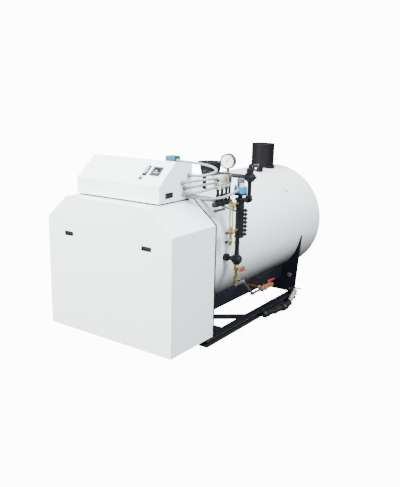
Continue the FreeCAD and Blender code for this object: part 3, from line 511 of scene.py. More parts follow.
def even_points(points, step):
    """Points along the same line, each a step from the one before, and the same last point."""
    row, left = [points[0]], step
    for a, b in zip(points, points[1:]):
        span = (b - a).length
        way = (b - a) / span
        while left <= span:
            row.append(a + way * left)
            left += step
        left -= span
    row[-1] = points[-1]
    return row


def tube_along(points, radius, sides, ripple=0.0, pitch=0.0, closed=False):
    """Tube that follows a row of points, with a groove that deep at each pitch if it has one."""
    dense = even_points(points, pitch / RINGS_IN_PITCH) if ripple else points
    bm = bmesh.new()
    count = len(dense)
    rings = []
    side = None
    for number, point in enumerate(dense):
        before = dense[number - 1] if number or closed else point
        after = dense[(number + 1) % count] if number < count - 1 or closed else point
        way = (after - before).normalized()
        if side is None:
            side = way.orthogonal().normalized()
        side = (side - way * side.dot(way)).normalized()
        other = way.cross(side)
        whole = RINGS_IN_PITCH <= number < count - RINGS_IN_PITCH
        grooved = whole and number % RINGS_IN_PITCH >= RINGS_IN_PITCH / 2
        size = radius - (ripple if grooved else 0)
        ring = []
        for corner in range(sides):
            angle = 2 * math.pi * corner / sides
            ring.append(bm.verts.new(point + (side * math.cos(angle) + other * math.sin(angle)) * size))
        rings.append(ring)
    pairs = list(zip(rings, rings[1:])) + ([(rings[-1], rings[0])] if closed else [])
    for low, high in pairs:
        for corner in range(sides):
            after = (corner + 1) % sides
            bm.faces.new((low[corner], low[after], high[after], high[corner]))
    if not closed:
        bm.faces.new(list(reversed(rings[0])))
        bm.faces.new(rings[-1])
    bmesh.ops.recalc_face_normals(bm, faces=bm.faces)
    return bm


# ---- conduits ----
ROUTES = {
    "actuator_conduit": [(0.416, -0.983, 1.368), (0.504, -0.983, 1.370), (0.558, -0.929, 1.382),
                         (0.557, -0.847, 1.398), (0.496, -0.791, 1.416), (0.382, -0.789, 1.434),
                         (0.173, -0.797, 1.440)],
    "upper_control_conduit": [(0.416, -1.062, 1.322), (0.504, -1.060, 1.342), (0.573, -0.988, 1.352),
                              (0.580, -0.909, 1.352)],
    "middle_control_conduit": [(0.416, -1.034, 1.282), (0.500, -1.034, 1.300), (0.562, -0.984, 1.316),
                               (0.580, -0.909, 1.320)],
    "lower_control_conduit": [(0.416, -1.046, 1.240), (0.500, -1.044, 1.254), (0.564, -0.986, 1.276),
                              (0.580, -0.909, 1.286)],
    "cutoff_conduit": [(0.416, -1.000, 1.216), (0.504, -0.998, 1.206), (0.622, -0.890, 1.208),
                       (0.652, -0.788, 1.234), (0.650, -0.716, 1.246)],
    "column_conduit": [(0.416, -0.958, 1.222), (0.496, -0.958, 1.214), (0.548, -0.901, 1.194),
                       (0.548, -0.812, 1.160), (0.556, -0.752, 1.122), (0.6132, -0.6968, 1.104)],
}
CONDUIT_SIZE = 0.020
RIB_DEPTH, RIB_PITCH = 0.0014, 0.0084


def spline_points(name, points):
    """Points along the smooth line of a route."""
    data = bpy.data.curves.new(name + "_route", "CURVE")
    data.dimensions = "3D"
    data.resolution_u = 24
    spline = data.splines.new("NURBS")
    spline.points.add(len(points) - 1)
    for spot, point in zip(spline.points, points):
        spot.co = (*point, 1)
    spline.order_u = 3
    spline.use_endpoint_u = True
    carrier = bpy.data.objects.new(name + "_route", data)
    mesh = bpy.data.meshes.new_from_object(carrier)
    found = [v.co.copy() for v in mesh.vertices]
    bpy.data.meshes.remove(mesh)
    bpy.data.objects.remove(carrier)
    bpy.data.curves.remove(data)
    return found


def conduits():
    nuts = []
    for name, route in ROUTES.items():
        points = [Vector(p) + SHIFT for p in route]
        line = spline_points(name, points)
        bm = tube_along(line, CONDUIT_SIZE / 2, 16, RIB_DEPTH, RIB_PITCH)
        piece = to_piece(name + "_jacket", bm, "conduit", "conduit_grey", smooth=50)
        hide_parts(name)
        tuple(points[0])
        for end, before in ((points[0], points[1]), (points[-1], points[-2])):
            way = (end - before).normalized()
            ferrule = lathe([(0.0106, 0), (0.0134, 0.0006), (0.0162, 0.003), (0.0162, 0.009),
                             (0.0156, 0.0098)], 24)
            nuts.append((ferrule, end - way * 0.0012, way))
            nuts.append((hexagon(0.0182, 0.0075), end + way * 0.0095, way))
    many("conduit_nuts", nuts, "gland", "gland_grey")


conduits()


# ---- cabinet and desk ----
LIP, SLOPE_TOP = Vector((0, -1.320, 1.312)), Vector((0, -1.132, 1.472))
SLOPE = (SLOPE_TOP - LIP).normalized()
SLOPE_OUT = X.cross(SLOPE)
SLOPE_TURN = Matrix((X, SLOPE, SLOPE_OUT)).transposed().to_4x4()
PANEL_PROUD = 0.006
SCREEN_X, SCREEN_RISE, SCREEN_EDGE = 0.291, 0.138, 0.0385
SWITCH_X, SWITCH_RISE = 0.1965, 0.150
KNOB_X, KNOB_RISE, KNOB_HEIGHT = 0.190, 0.062, 0.014


def lay(name, parts, look, slot):
    """One piece out of small solids on the desk's slope: (bmesh, x, rise, proud) each.

    x runs across and rise up the slope from its lip, in metres."""
    bm = bmesh.new()
    for part, x, rise, proud in parts:
        place = X * x + LIP + SLOPE * rise + SLOPE_OUT * proud + SHIFT
        part.transform(Matrix.Translation(place) @ SLOPE_TURN)
        put_plain(bm, part)
    return to_piece(name, bm, look, slot)


def desk_details():
    window = slab(0.056, 0.034, 0.0012, 0.0005)
    lay("screen_window", [(window, SCREEN_X, SCREEN_RISE + 0.013, PANEL_PROUD)], "screen_glass", "screen")
    bars = [(slab(0.036, 0.009, 0.0016, 0.0005), SCREEN_X, SCREEN_RISE - 0.012, PANEL_PROUD),
            (slab(0.028, 0.0045, 0.0016, 0.0004), SCREEN_X - 0.004, SCREEN_RISE + 0.006,
             PANEL_PROUD + 0.0008)]
    lay("screen_bars", bars, "screen_bar", "screen")
    keys = [(lathe([(0.0034, 0), (0.0034, 0.0012), (0.0026, 0.0018)], 16),
             SCREEN_X + (number - 2) * 0.014, SCREEN_RISE - 0.028, PANEL_PROUD) for number in range(5)]
    lay("screen_keys", keys, "pull", "screen")
    rim = []
    for side in (-1, 1):
        offset = side * SCREEN_EDGE
        rim.append((slab(0.082, 0.004, 0.002, 0.0006), SCREEN_X, SCREEN_RISE + offset, PANEL_PROUD))
        rim.append((slab(0.004, 0.073, 0.002, 0.0006), SCREEN_X + offset, SCREEN_RISE, PANEL_PROUD))
    lay("screen_rim", rim, "pull", "screen")
    cover = slab(0.023, 0.080, 0.002, 0.0006)
    lay("switch_cover", [(cover, SWITCH_X, SWITCH_RISE, PANEL_PROUD)], "lamp", "control_grey")
    keys = [(slab(0.013, 0.006, 0.0026, 0.0008), SWITCH_X, SWITCH_RISE + (number - 2.5) * 0.0116,
             PANEL_PROUD + 0.0012) for number in range(6)]
    lay("switch_keys", keys, "screen_frame", "screen")
    ring = lathe([(0.0118, 0), (0.0150, 0.0004), (0.0150, 0.0022), (0.0118, 0.003)], 28)
    lay("knob_ring", [(ring, KNOB_X, KNOB_RISE, 0)], "gland", "gland_grey")
    face = lathe([(0.0065, 0), (0.0065, 0.0010), (0.005, 0.0016)], 20)
    lay("knob_face", [(face, KNOB_X, KNOB_RISE, KNOB_HEIGHT)], "lamp", "control_grey")


def latch_details():
    low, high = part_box("desk_latch")
    middle = (low + high) / 2
    width, height = high.y - low.y, high.z - low.z
    paddle = slab(width * 0.52, height * 0.56, 0.004, 0.0012)
    place = Vector((high.x - 0.0035, middle.y - 0.006, middle.z))
    many("latch_paddle", [(paddle, place, X)], "knob", "pull_black")
    bits = []
    for side in (-1, 1):
        place = Vector((high.x - 0.0008, middle.y + side * (width / 2 - 0.007), middle.z))
        bits.append((screw(0.0032), place, X))
    many("latch_screws", bits, "bolt", "steel_pipe")


def pull_details():
    face_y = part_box("cabinet_pulls")[0].y
    paddles, lips = [], []
    for side in (-1, 1):
        centre = at(side * PULL_X, 0, PULL_Z)
        centre.y = face_y
        paddles.append((slab(0.066, 0.014, 0.0035, 0.0012), centre + Y * 0.0050 + Z * 0.006, -Y))
        for row in (-1, 1):
            place = centre + Y * 0.0022 + Z * row * 0.0155
            lips.append((slab(0.086, 0.0022, 0.0022, 0.0006), place, -Y))
    many("pull_paddles", paddles, "knob", "pull_black")
    many("pull_lips", lips, "pull", "pull_black")


desk_details()
latch_details()
pull_details()


# ---- top of the shell ----
WELDS = (("stack_weld", 0, STACK_Y, 0.1213, 0.0035, "stack", "stack_black"),
         ("nozzle_weld", 0, NOZZLE_Y, 0.0790, 0.0050, "stack", "stack_black"),
         ("post_weld", POST_X, POST_Y, 0.0225, 0.0025, "pipe", "pipe_black"),
         ("steam_nipple_weld", STEAM_NIPPLE_X, RISER_Y, 0.0165, 0.0030, "pipe", "pipe_black"))
STACK_RIM_Z = 1.4825


def ring_on_shell(x, y, radius, count=72):
    """Where an upright tube of that radius meets the shell, as a closed row of points."""
    points = []
    for number in range(count):
        angle = 2 * math.pi * number / count
        out = x / 1000 + radius * math.cos(angle)
        height = SHELL_CENTRE_Z + math.sqrt(SHELL_RADIUS ** 2 - out ** 2)
        points.append(Vector((out, y / 1000 + radius * math.sin(angle), height)) + SHIFT)
    return points


def weld_beads():
    for name, x, y, radius, size, look, slot in WELDS:
        to_piece(name, tube_along(ring_on_shell(x, y, radius), size, 8, closed=True), look, slot,
                 smooth=60)


def stack_details():
    rim = open_ends(lathe([(0.1125, 0), (0.1150, 0.001), (0.1150, 0.006), (0.1125, 0.007)], 64))
    many("stack_rim", [(rim, level(at(0, STACK_Y, 0), STACK_RIM_Z), Z)], "stack", "stack_black")
    low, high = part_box("flue_switch")
    middle = (low + high) / 2
    top = level(middle, high.z)
    front = Vector((middle.x, low.y, high.z))
    lid = slab(high.x - low.x + 0.003, high.y - low.y + 0.003, 0.010, 0.002)
    many("switch_lid", [(lid, top - Z * 0.0095, Z)], "stack", "stack_black")
    button = lathe([(0.010, 0), (0.010, 0.003), (0.008, 0.0045)], 24)
    many("switch_button", [(button, front + X * 0.008 - Z * 0.030, -Y)], "dial", "control_grey")
    bits = [(screw(0.003), front + X * side * 0.03 - Z * 0.018, -Y) for side in (-1, 1)]
    many("switch_screws", bits, "bolt", "steel_pipe")
    bits = [(slab(0.058, 0.016, 0.004, 0.001), top + Vector((-0.006, -0.010, 0)), Z, 0.35),
            (hexagon(0.008, 0.006), top + Vector((0.014, -0.003, 0.003)), Z)]
    many("switch_arm", bits, "steel", "steel_pipe")


def actuator_details():
    top = level(at(POST_X, POST_Y, 0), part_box("vent_actuator")[1].z)
    dome = lathe([(0.017, 0), (0.017, 0.003), (0.012, 0.006), (0, 0.0075)], 28)
    bits = [(slab(0.084, 0.084, 0.018, 0.004, 3), top - Z * 0.0176, Z), (dome, top - Z * 0.001, Z)]
    many("actuator_lid", bits, "teal", "teal")
    bits = [(screw(0.0035), top + X * side * 0.032 + Y * row * 0.032, Z)
            for side in (-1, 1) for row in (-1, 1)]
    many("actuator_screws", bits, "bolt", "steel_pipe")
    many("actuator_nut", [(hexagon(0.030, 0.012), level(top, 1.374), Z)], "pipe", "pipe_black")


weld_beads()
stack_details()
actuator_details()


# ---- column and pipes ----
BOSS_TURN = math.radians(35)
BOSS_WAY = Vector((math.cos(BOSS_TURN), math.sin(BOSS_TURN), 0))
CROSS_REACH = 0.034         # from a cross's centre to the end of its arm


def control_place(number):
    """The floor under one of the three pressure controls, the first at the front."""
    return at(CONTROL_X, CONTROL_Y + CONTROL_STEP * number, 0)


def pipework_details():
    bands, nuts, plugs = [], [], []
    cross = at(TRAIN_X, RISER_Y, STEAM_PIPE_Z)
    low_cross = at(TRAIN_X, DRAIN_Y, LOW_CROSS_Z)
    for centre in (cross, low_cross):
        for way in (X, -X, Z, -Z):
            bands.append((band(0.026, 0.011), centre + way * (CROSS_REACH - 0.010), way))
    plugs.append((plug(0.019, 0.018), cross + X * (CROSS_REACH - 0.001), X))
    plugs.append((plug(0.017, 0.016), low_cross + Y * 0.045, Y))
    bands.append((band(0.017, 0.010, 0.004), low_cross + Y * 0.028, Y))
    nuts.append((hexagon(0.032, 0.021), at(TRAIN_X, RISER_Y, RISER_UNION_Z), Z))
    plugs.append((plug(0.016, 0.016), at(TRAIN_X, RISER_Y, RISER_TOP_Z), Z))
    foot = at(TRAIN_X, RISER_Y, RISER_FOOT_Z)
    bands.append((band(0.021, 0.012, 0.005), foot + Z * 0.018, Z))
    bands.append((band(0.021, 0.012, 0.005), foot - Y * 0.030, Y))
    elbow = at(STEAM_NIPPLE_X, RISER_Y, STEAM_PIPE_Z)
    bands.append((band(0.017, 0.012, 0.006), elbow + X * 0.017, X))
    bands.append((band(0.017, 0.012, 0.006), elbow - Z * 0.029, Z))
    nuts.append((hexagon(0.031, 0.018), at(LOW_UNION_X, DRAIN_Y, LOW_CROSS_Z), X))
    for height in (LOW_CROSS_Z + 126, LOW_CROSS_Z + 44):
        bands.append((band(0.017, 0.012, 0.004), at(TRAIN_X, DRAIN_Y, height), Z))
    for number in range(CONTROLS):
        spot = level(control_place(number), MANIFOLD_Z / 1000)
        bands.append((band(0.017, 0.028, 0.004), spot - Y * 0.014, Y))
        bands.append((band(0.011, 0.010, 0.005), spot + Z * 0.018, Z))
        nuts.append((hexagon(0.0175, 0.017), spot + Z * 0.0545, Z))
        nuts.append((hexagon(0.0140, 0.010), spot + Z * 0.100, Z))
    plugs.append((plug(0.018, 0.014), at(CONTROL_X, MANIFOLD_FRONT_Y, MANIFOLD_Z), -Y))
    bands.append((band(0.020, 0.012, 0.004), at(CONTROL_X, MANIFOLD_REAR_Y, MANIFOLD_Z), Y))
    many("pipe_bands", bands, "pipe", "pipe_black")
    many("pipe_nuts", nuts, "pipe", "pipe_black")
    many("pipe_plugs", plugs, "pipe", "pipe_black")


def column_details():
    bits = []
    for number in range(BOSSES):
        height = BOSS_LOW_Z + (BOSS_HIGH_Z - BOSS_LOW_Z) * number / (BOSSES - 1)
        spot = at(TRAIN_X, COLUMN_Y, height) + BOSS_WAY * 0.050
        bits.append((band(0.0125, 0.010, 0.003), spot - BOSS_WAY * 0.009, BOSS_WAY))
        bits.append((plug(0.0105, 0.011), spot - BOSS_WAY * 0.0005, BOSS_WAY))
    many("column_plugs", bits, "pipe", "pipe_black")
    top = at(TRAIN_X, COLUMN_Y, COLUMN_TOP_Z)
    bolts = []
    for number in range(6):
        angle = math.pi / 6 + number * math.pi / 3
        spot = top + Vector((math.cos(angle), math.sin(angle), 0)) * 0.030
        bolts.append((bolt(0.0060, 0.0065), spot - Z * 0.0006, Z))
    many("column_bolts", bolts, "pipe", "pipe_black")
    collar = lathe([(0.039, 0), (0.0415, 0.001), (0.0415, 0.005), (0.039, 0.006)], 40)
    bands = [(band(0.032, 0.014, 0.004), top - Z * 0.3015, Z),
             (band(0.032, 0.010, 0.003), top - Z * 0.068, Z),
             (collar, top - Z * 0.010, Z)]
    many("column_bands", bands, "pipe", "pipe_black")


def gauge_glass_details():
    bits = []
    for height, way in ((GLASS_HIGH_Z, -Z), (GLASS_LOW_Z, Z)):
        body = at(TRAIN_X, GLASS_Y, height)
        bits.append((hexagon(0.0155, 0.015), body + way * 0.0168, way))
        bits.append((band(0.012, 0.006, 0.002), body + way * 0.032, way))
        bits.append((bonnet(0.0125, 0.014), body + X * 0.0166, X))
        bits.append((hexagon(0.0125, 0.012), body + Y * 0.0168, Y))
        bits.append((hexagon(0.0105, 0.010), body - Y * 0.0168, -Y))
    bits.append((hexagon(0.0125, 0.010), at(TRAIN_X, GLASS_Y, GLASS_HIGH_Z + 17), Z))
    cock = at(TRAIN_X, GLASS_Y, GLASS_DRAIN_Z)
    bits.append((hexagon(0.0135, 0.012), cock + Z * 0.018, Z))
    bits.append((hexagon(0.0125, 0.012), cock - Z * 0.032, Z))
    bits.append((bonnet(0.0115, 0.012), cock - Y * 0.0155, -Y))
    many("gauge_valve_nuts", bits, "brass", "brass")
    knobs = []
    for height in (GLASS_LOW_Z, GLASS_DRAIN_Z):
        face = at(TRAIN_X, GLASS_Y - KNOB_REACH, height)
        grips = lathe([(0.0112, 0), (0.0124, 0.0016), (0.0124, 0.0086), (0.0112, 0.0102)], 10)
        knobs.append((grips, face + Y * 0.0020, Y))
        knobs.append((lathe([(0.006, 0), (0.006, 0.0006), (0.0045, 0.0012)], 16), face, -Y))
    many("gauge_knob_grips", knobs, "knob", "knob_black")


def cutoff_details():
    centre = at(TRAIN_X, COLUMN_Y, 0)
    bits = [(slab(0.0745, 0.0745, 0.047, 0.006, 3), level(centre, 1.2268), Z),
            (slab(0.0765, 0.0765, 0.006, 0.002), level(centre, 1.2430), Z)]
    many("cutoff_cover", bits, "blue", "cutoff_blue")
    foot = level(centre, 1.2740)
    cap = lathe([(0.0290, 0), (0.0290, 0.006), (0.0278, 0.007), (0.0278, 0.0560), (0.0262, 0.0632),
                 (0.020, 0.0652), (0, 0.0656)], 32)
    many("cutoff_cap", [(cap, foot - Z * 0.0004, Z)], "steel", "steel_pipe")
    bits = [(slab(0.030, 0.026, 0.030, 0.003), foot + Vector((0.020, -0.014, 0)), Z),
            (slab(0.026, 0.020, 0.014, 0.002), foot + Vector((-0.022, -0.022, 0)), Z)]
    many("cutoff_terminals", bits, "terminal", "control_grey")
    bits = []
    for side in (-1, 1):
        for height in (1.236, 1.264):
            spot = level(centre, height)
            bits.append((screw(0.003), spot + X * side * 0.028 - Y * 0.0372, -Y))
            bits.append((screw(0.003), spot + X * 0.0372 + Y * side * 0.028, X))
    many("cutoff_screws", bits, "bolt", "steel_pipe")


pipework_details()
column_details()
gauge_glass_details()
cutoff_details()


# ---- pressure controls and gauge ----
CONTROL_LOOKS = (("control", "control_grey"), ("tan", "brass"), ("screen_frame", "screen"))
GAUGE_TURN = math.radians(12)
GAUGE_WAY = Vector((math.sin(GAUGE_TURN), -math.cos(GAUGE_TURN), 0))
DIAL_START, DIAL_SWEEP = math.radians(225), math.radians(270)
DIAL_STEPS, DIAL_STEPS_TO_NUMBER = 30, 5
NEEDLE_ANGLE = math.radians(52)


def control_details():
    for number, (look, slot) in enumerate(CONTROL_LOOKS):
        centre = control_place(number)
        foot = lathe([(0.0225, 0), (0.0232, 0.002), (0.0232, 0.012), (0.0215, 0.014), (0.0215, 0.028),
                      (0.0235, 0.031), (0.0235, 0.035)], 32)
        bits = [(slab(0.0640, 0.0500, 0.0560, 0.0035, 3), level(centre, 1.3068), Z),
                (slab(0.0655, 0.0515, 0.010, 0.002), level(centre, 1.3586), Z),
                (foot, level(centre, 1.2706), Z)]
        many("control_cover_%d" % (number + 1), bits, look, slot)
    knob = lathe([(0.0095, 0), (0.0095, 0.006), (0.0075, 0.0085), (0, 0.0090)], 24)
    place = level(control_place(0), 1.338) + X * 0.020 - Y * 0.0250
    many("control_knob", [(knob, place, -Y)], "knob", "knob_black")
    screws, windows = [], []
    for number in range(CONTROLS):
        spot = control_place(number)
        for side in (-1, 1):
            for height in (1.352, 1.314):
                place = level(spot, height) + X * 0.0318 + Y * side * 0.018
                screws.append((screw(0.0026), place, X))
        window = slab(0.010, 0.030, 0.0014, 0.0004)
        windows.append((window, level(spot, 1.333) + X * 0.0316, X))
    many("control_screws", screws, "bolt", "steel_pipe")
    many("control_windows", windows, "screen_glass", "screen")


def digits(words, size, thick):
    """The mesh of a few figures, flat and centred."""
    data = bpy.data.curves.new("digits", "FONT")
    data.body = words
    data.size = size
    data.extrude = thick / 2
    data.align_x, data.align_y = "CENTER", "CENTER"
    carrier = bpy.data.objects.new("digits", data)
    mesh = bpy.data.meshes.new_from_object(carrier)
    bpy.data.objects.remove(carrier)
    bpy.data.curves.remove(data)
    return mesh


def on_dial(angle, radius, height):
    """The move from the dial's centre to that radius at an angle from three o'clock."""
    return Matrix.Translation((radius * math.cos(angle), radius * math.sin(angle), height))


def gauge_details():
    face = at(GAUGE_X, GAUGE_Y, GAUGE_Z)
    bezel = open_ends(lathe([(0.0555, -0.010), (0.0568, -0.010), (0.0574, -0.006), (0.0574, 0.002),
                             (0.0555, 0.0045), (0.0500, 0.0045), (0.0478, 0.0006)], 64))
    many("gauge_bezel", [(bezel, face, GAUGE_WAY)], "rim_dark", "gauge_white")
    dial = lathe([(0.0508, 0), (0.0508, 0.0008)], 64)
    many("gauge_dial", [(dial, face, GAUGE_WAY)], "dial", "gauge_white")
    bm = bmesh.new()
    turn = Matrix.Translation(face) @ basis(GAUGE_WAY)
    for number in range(DIAL_STEPS + 1):
        angle = DIAL_START - DIAL_SWEEP * number / DIAL_STEPS
        numbered = number % DIAL_STEPS_TO_NUMBER == 0
        size = 0.0070 if numbered else 0.0038
        tick = slab(size, 0.0016 if numbered else 0.0009, 0.0004, 0.0001, 1)
        tick.transform(turn @ on_dial(angle, 0.0455 - size / 2, 0.0008) @ Matrix.Rotation(angle, 4, "Z"))
        put_plain(bm, tick)
        if numbered:
            mesh = digits(str(number // DIAL_STEPS_TO_NUMBER * 2), 0.0095, 0.0004)
            mesh.transform(turn @ on_dial(angle, 0.0335, 0.0010))
            bm.from_mesh(mesh)
            bpy.data.meshes.remove(mesh)
    needle = slab(0.046, 0.0034, 0.0008, 0.0002, 1)
    needle.transform(turn @ Matrix.Rotation(NEEDLE_ANGLE, 4, "Z") @ Matrix.Translation((0.013, 0, 0.0014)))
    put_plain(bm, needle)
    boss = lathe([(0.0045, 0), (0.0045, 0.0016), (0.0035, 0.0022)], 20)
    boss.transform(turn @ Matrix.Translation((0, 0, 0.0008)))
    put_plain(bm, boss)
    to_piece("gauge_marks", bm, "ink", "gauge_white")
    stem = face - GAUGE_WAY * 0.021
    bits = [(hexagon(0.0130, 0.014), level(stem, 1.3905), Z),
            (hexagon(0.0125, 0.012), level(stem, 1.372), Z)]
    many("gauge_nuts", bits, "brass", "brass")


control_details()
gauge_details()


# ---- drain train ----
def knurls(radius, size, count):
    """Knurls round a wheel's rim, about Z."""
    bm = bmesh.new()
    for number in range(count):
        angle = 2 * math.pi * number / count
        knurl = lathe([(size * 0.55, -0.0030), (size + 0.0004, -0.0016), (size + 0.0004, 0.0016),
                       (size * 0.55, 0.0030)], 12)
        knurl.transform(Matrix.Translation((radius * math.cos(angle), radius * math.sin(angle), 0))
                        @ Matrix.Rotation(angle, 4, "Z") @ Matrix.Rotation(math.pi / 2, 4, "X"))
        put_plain(bm, knurl)
    return bm


def grip(width, thick, length):
    """Dipped plastic sleeve over a flat lever."""
    return slab(width, thick, length, min(width, thick) * 0.42, 3)


def wheel_details():
    wheel = pivot("handwheel_turn")
    cap = lathe([(0.0205, 0), (0.0215, 0.0012), (0.0205, 0.0034), (0.0150, 0.0062), (0, 0.0070)], 32)
    many("wheel_disc", [(cap, wheel + WHEEL_WAY * 0.0012, WHEEL_WAY)], "disc", "wheel_red", "handwheel")
    rim = knurls(0.0275, 0.0057, 22)
    many("wheel_grips", [(rim, wheel, WHEEL_WAY)], "wheel_rim", "brass", "handwheel")


def lever_details():
    """Grips of the blow-down and rear levers, and the nuts that hold all three levers."""
    ball = pivot("ball_lever_turn")
    blow = pivot("blow_lever_turn")
    rear = pivot("rear_lever_turn")
    bits = [(grip(0.0195, 0.0085, 0.078), blow + Y * 0.028, Y)]
    many("blow_lever_grip", bits, "red", "wheel_red", "blow_lever")
    bits = [(grip(0.0085, 0.0145, 0.084), rear + X * 0.0345, X)]
    many("rear_lever_grip", bits, "dark_red", "lever_dark_red", "rear_lever")
    for body, place, way, radius in (("rear_lever", rear, Z, 0.0078), ("blow_lever", blow, Z, 0.0080),
                                     ("ball_lever", ball, X, 0.0078)):
        nut = hexagon(radius, 0.0050)
        many(body + "_nut", [(nut, place + way * 0.0032, way)], "bolt", "steel_pipe", body)


def drain_details():
    valve = at(TRAIN_X, DRAIN_Y, BRASS_VALVE_Z)
    ball = at(TRAIN_X, DRAIN_Y, BALL_VALVE_Z)
    bits = [(hexagon(0.0245, 0.012), valve + Z * 0.013, Z), (hexagon(0.0245, 0.012), valve - Z * 0.025, Z),
            (bonnet(0.0165, 0.030), valve + WHEEL_WAY * 0.014, WHEEL_WAY),
            (hexagon(0.0215, 0.011), ball + Z * 0.011, Z), (hexagon(0.0215, 0.011), ball - Z * 0.022, Z),
            (bonnet(0.0125, 0.020), ball + X * 0.0145, X)]
    many("valve_nuts", bits, "brass", "brass")
    wheel_details()
    bits = [(grip(0.0145, 0.0085, 0.070), pivot("ball_lever_turn") + Y * 0.030, Y)]
    many("ball_lever_grip", bits, "knob", "knob_black", "ball_lever")
    tee = at(LOW_RUN_X, TEE_Y, LOW_RUN_Z)
    bits = [(hexagon(0.0275, 0.014), tee - Y * 0.0345, Y), (hexagon(0.0275, 0.014), tee + Y * 0.0205, Y),
            (hexagon(0.0205, 0.012), tee - X * 0.036, -X)]
    many("tee_nuts", bits, "bronze", "copper")
    bits = [(hexagon(0.0265, 0.016), at(LOW_RUN_X, LOW_RUN_END_Y, LOW_RUN_Z) - Y * 0.0165, Y),
            (hexagon(0.0265, 0.016), at(LOW_RUN_X, SLEEVE_Y, LOW_RUN_Z), Y),
            (bonnet(0.0155, 0.024), at(LOW_RUN_X, BLOW_VALVE_Y, LOW_RUN_Z) + Z * 0.017, Z)]
    many("end_valve_nuts", bits, "copper", "copper")
    start = at(LOW_RUN_X, LOW_RUN_START_Y, LOW_RUN_Z)
    bits = [(band(0.0115, 0.010, 0.004), place, Y) for place in (start + Y * 0.016, tee - Y * 0.045)]
    many("drain_bands", bits, "steel", "steel_pipe")
    lever_details()


drain_details()


# ---- rear line, blow-down and plates ----
PLATE_ANGLE, CLIP_ANGLE, CLIP_SPIN = math.radians(39), math.radians(41.6), math.radians(-61)
PLATE_THICK = 0.0030


def rear_details():
    corner, bend = at(*BLOW_CORNER), at(*BLOW_BEND)
    start, end = at(*BLOW_VALVE_START), at(*BLOW_VALVE_END)
    along = (bend - corner).normalized()
    onward = (start - bend).normalized()
    bits = [(band(0.0265, 0.014, 0.005), corner + along * 0.028, along),
            (band(0.0275, 0.016, 0.006), bend - along * 0.044, along),
            (band(0.0275, 0.014, 0.006), bend + onward * 0.028, onward),
            (hexagon(0.0335, 0.026), (corner + bend) / 2 - along * 0.013, along),
            (band(0.0255, 0.010, 0.005), start - onward * 0.014, onward)]
    many("blowdown_bands", bits, "pipe", "pipe_black")
    way = (end - start).normalized()
    reach = (end - start).length
    bits = [(hexagon(0.0255, 0.020), start + way * 0.002, way),
            (hexagon(0.0255, 0.020), end - way * 0.022, way),
            (band(0.0235, 0.012, 0.002), start + way * (reach / 2 - 0.006), way)]
    many("blowdown_nuts", bits, "silver", "steel_pipe")
    side = way.cross(Z).normalized()
    bits = [(bonnet(0.012, 0.016), start + way * (reach * share) + side * 0.0215, side)
            for share in (0.42, 0.72)]
    many("blowdown_caps", bits, "pipe", "pipe_black")
    body = at(*REAR_VALVE)
    bits = [(hexagon(0.0225, 0.014), body + Y * offset, Y) for offset in (0.001, 0.047)]
    many("rear_valve_nuts", bits, "silver", "steel_pipe")


def lay_on_shell(name, parts, angle, look, slot):
    """One piece out of flat parts at that angle up the shell's side: (bmesh, y, lift, spin)."""
    out = Vector((math.cos(angle), 0, math.sin(angle)))
    turn = Matrix((Y, out.cross(Y), out)).transposed().to_4x4()
    bm = bmesh.new()
    for part, y, lift, spin in parts:
        place = Vector((0, y, SHELL_CENTRE_Z)) + out * (SHELL_RADIUS + lift) + SHIFT
        part.transform(Matrix.Translation(place) @ turn @ Matrix.Rotation(spin, 4, "Z"))
        put_plain(bm, part)
    return to_piece(name, bm, look, slot)


def plates():
    """Blank plate on two studs behind the manifold, the jacket's clip and the saddle's cap."""
    y = PLATE_Y / 1000
    plate = slab(0.170, 0.021, PLATE_THICK, 0.0008)
    lay_on_shell("data_plate", [(plate, y, 0, 0)], PLATE_ANGLE, "plate", "pipe_black")
    screws = [(screw(0.0034), y + side * 0.077, PLATE_THICK - 0.0002, 0) for side in (-1, 1)]
    lay_on_shell("plate_screws", screws, PLATE_ANGLE, "bolt", "steel_pipe")
    clip = slab(0.056, 0.011, 0.004, 0.001)
    lay_on_shell("jacket_clip", [(clip, CLIP_Y / 1000, 0, CLIP_SPIN)], CLIP_ANGLE, "steel", "steel_pipe")
    spot = at(SADDLE_CAP_X, 0, SADDLE_CAP_Z)
    spot.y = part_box("rear_saddle")[0].y
    cap = lathe([(0.024, 0), (0.024, 0.003), (0.020, 0.005), (0, 0.0055)], 32)
    many("saddle_cap", [(cap, spot, -Y)], "cap", "steel_pipe")


rear_details()
plates()

# ---- camera, floor and light ----
FLOOR_HALF = 40
BACKDROP = 13               # strength of the white that the camera sees behind the boiler
VIEW_YAW, VIEW_PITCH, VIEW_ROLL = math.radians(34.52), math.radians(13.76), 0.023
VIEW_PLACE = (2.819, -4.2875, 1.899)
VIEW_LENS, VIEW_SENSOR = 43.36, 36


def set_camera():
    """The photograph's viewpoint: off the front right corner, a little above."""
    level_way = Vector((-math.sin(VIEW_YAW), math.cos(VIEW_YAW), 0))
    ahead = level_way * math.cos(VIEW_PITCH) - Z * math.sin(VIEW_PITCH)
    right = ahead.cross(Z).normalized()
    up = right.cross(ahead)
    turned_right = right * math.cos(VIEW_ROLL) + up * math.sin(VIEW_ROLL)
    turned_up = up * math.cos(VIEW_ROLL) - right * math.sin(VIEW_ROLL)
    data = bpy.data.cameras.new("camera")
    data.lens = VIEW_LENS
    data.sensor_width = VIEW_SENSOR
    camera = bpy.data.objects.new("camera", data)
    bpy.context.scene.collection.objects.link(camera)
    turn = Matrix((turned_right, turned_up, -ahead)).transposed().to_4x4()
    camera.matrix_world = Matrix.Translation(VIEW_PLACE) @ turn
    bpy.context.scene.camera = camera


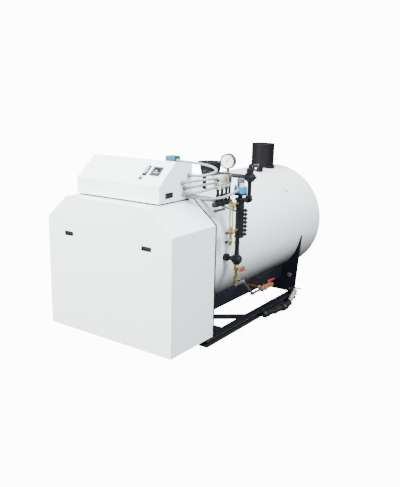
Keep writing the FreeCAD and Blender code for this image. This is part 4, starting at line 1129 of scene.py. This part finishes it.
def camera_only(tree, seen, unseen):
    """One shader for what the camera sees directly, another for the light that the object gets."""
    path = tree.nodes.new("ShaderNodeLightPath")
    choice = tree.nodes.new("ShaderNodeMixShader")
    link(tree, path.outputs["Is Camera Ray"], choice.inputs[0])
    link(tree, unseen, choice.inputs[1])
    link(tree, seen, choice.inputs[2])
    return choice.outputs[0]


def set_stage():
    """Pale floor: white to the camera, and dim enough below not to light the skid."""
    bm = bmesh.new()
    bmesh.ops.create_grid(bm, x_segments=2, y_segments=2, size=FLOOR_HALF)
    mesh = bpy.data.meshes.new("floor")
    bm.to_mesh(mesh)
    bm.free()
    floor = bpy.data.objects.new("floor", mesh)
    bpy.context.scene.collection.objects.link(floor)
    mat, tree, shader = new_tree("floor_pale")
    link(tree, ramp(tree, noise(tree, 0.4), [(0.3, 0.10), (0.7, 0.12)]), shader.inputs["Base Color"])
    shader.inputs["Roughness"].default_value = 0.9
    shader.inputs["Specular IOR Level"].default_value = 0.0
    glow = tree.nodes.new("ShaderNodeEmission")
    glow.inputs["Color"].default_value = (1, 1, 1, 1)
    glow.inputs["Strength"].default_value = BACKDROP
    out = next(node for node in tree.nodes if node.type == "OUTPUT_MATERIAL")
    link(tree, camera_only(tree, glow.outputs[0], shader.outputs[0]), out.inputs[0])
    mesh.materials.append(mat)


def add_light(name, power, place, aim_height, size, colour=(1, 1, 1)):
    """Square soft light that looks at the boiler's axis at that height."""
    aim = (0, 0, aim_height)
    data = bpy.data.lights.new(name, "AREA")
    data.energy = power
    data.color = colour
    data.shape = "RECTANGLE"
    data.size, data.size_y = size, size
    light = bpy.data.objects.new(name, data)
    light.location = place
    way = (Vector(aim) - Vector(place)).normalized()
    light.rotation_euler = way.to_track_quat("-Z", "Y").to_euler()
    bpy.context.scene.collection.objects.link(light)


def set_light():
    """Three soft boxes and a pale sky, which the camera sees as white."""
    world = bpy.data.worlds.new("studio")
    world.use_nodes = True
    tree = world.node_tree
    soft = tree.nodes["Background"]
    soft.inputs[0].default_value = (0.93, 0.97, 1.0, 1)
    soft.inputs[1].default_value = 0.55
    bright = tree.nodes.new("ShaderNodeBackground")
    bright.inputs[0].default_value = (1, 1, 1, 1)
    bright.inputs[1].default_value = BACKDROP
    link(tree, camera_only(tree, bright.outputs[0], soft.outputs[0]), tree.nodes["World Output"].inputs[0])
    bpy.context.scene.world = world
    add_light("key", 3200, (-1.6, -6.5, 5.0), 0.7, 4.0, (0.98, 1.0, 0.99))
    add_light("top", 650, (0.8, 0.5, 6.0), 0.7, 4.0)
    add_light("side", 1150, (5.5, -1.5, 5.0), 0.9, 2.5, (0.93, 0.97, 1.0))


set_camera()
set_stage()
set_light()
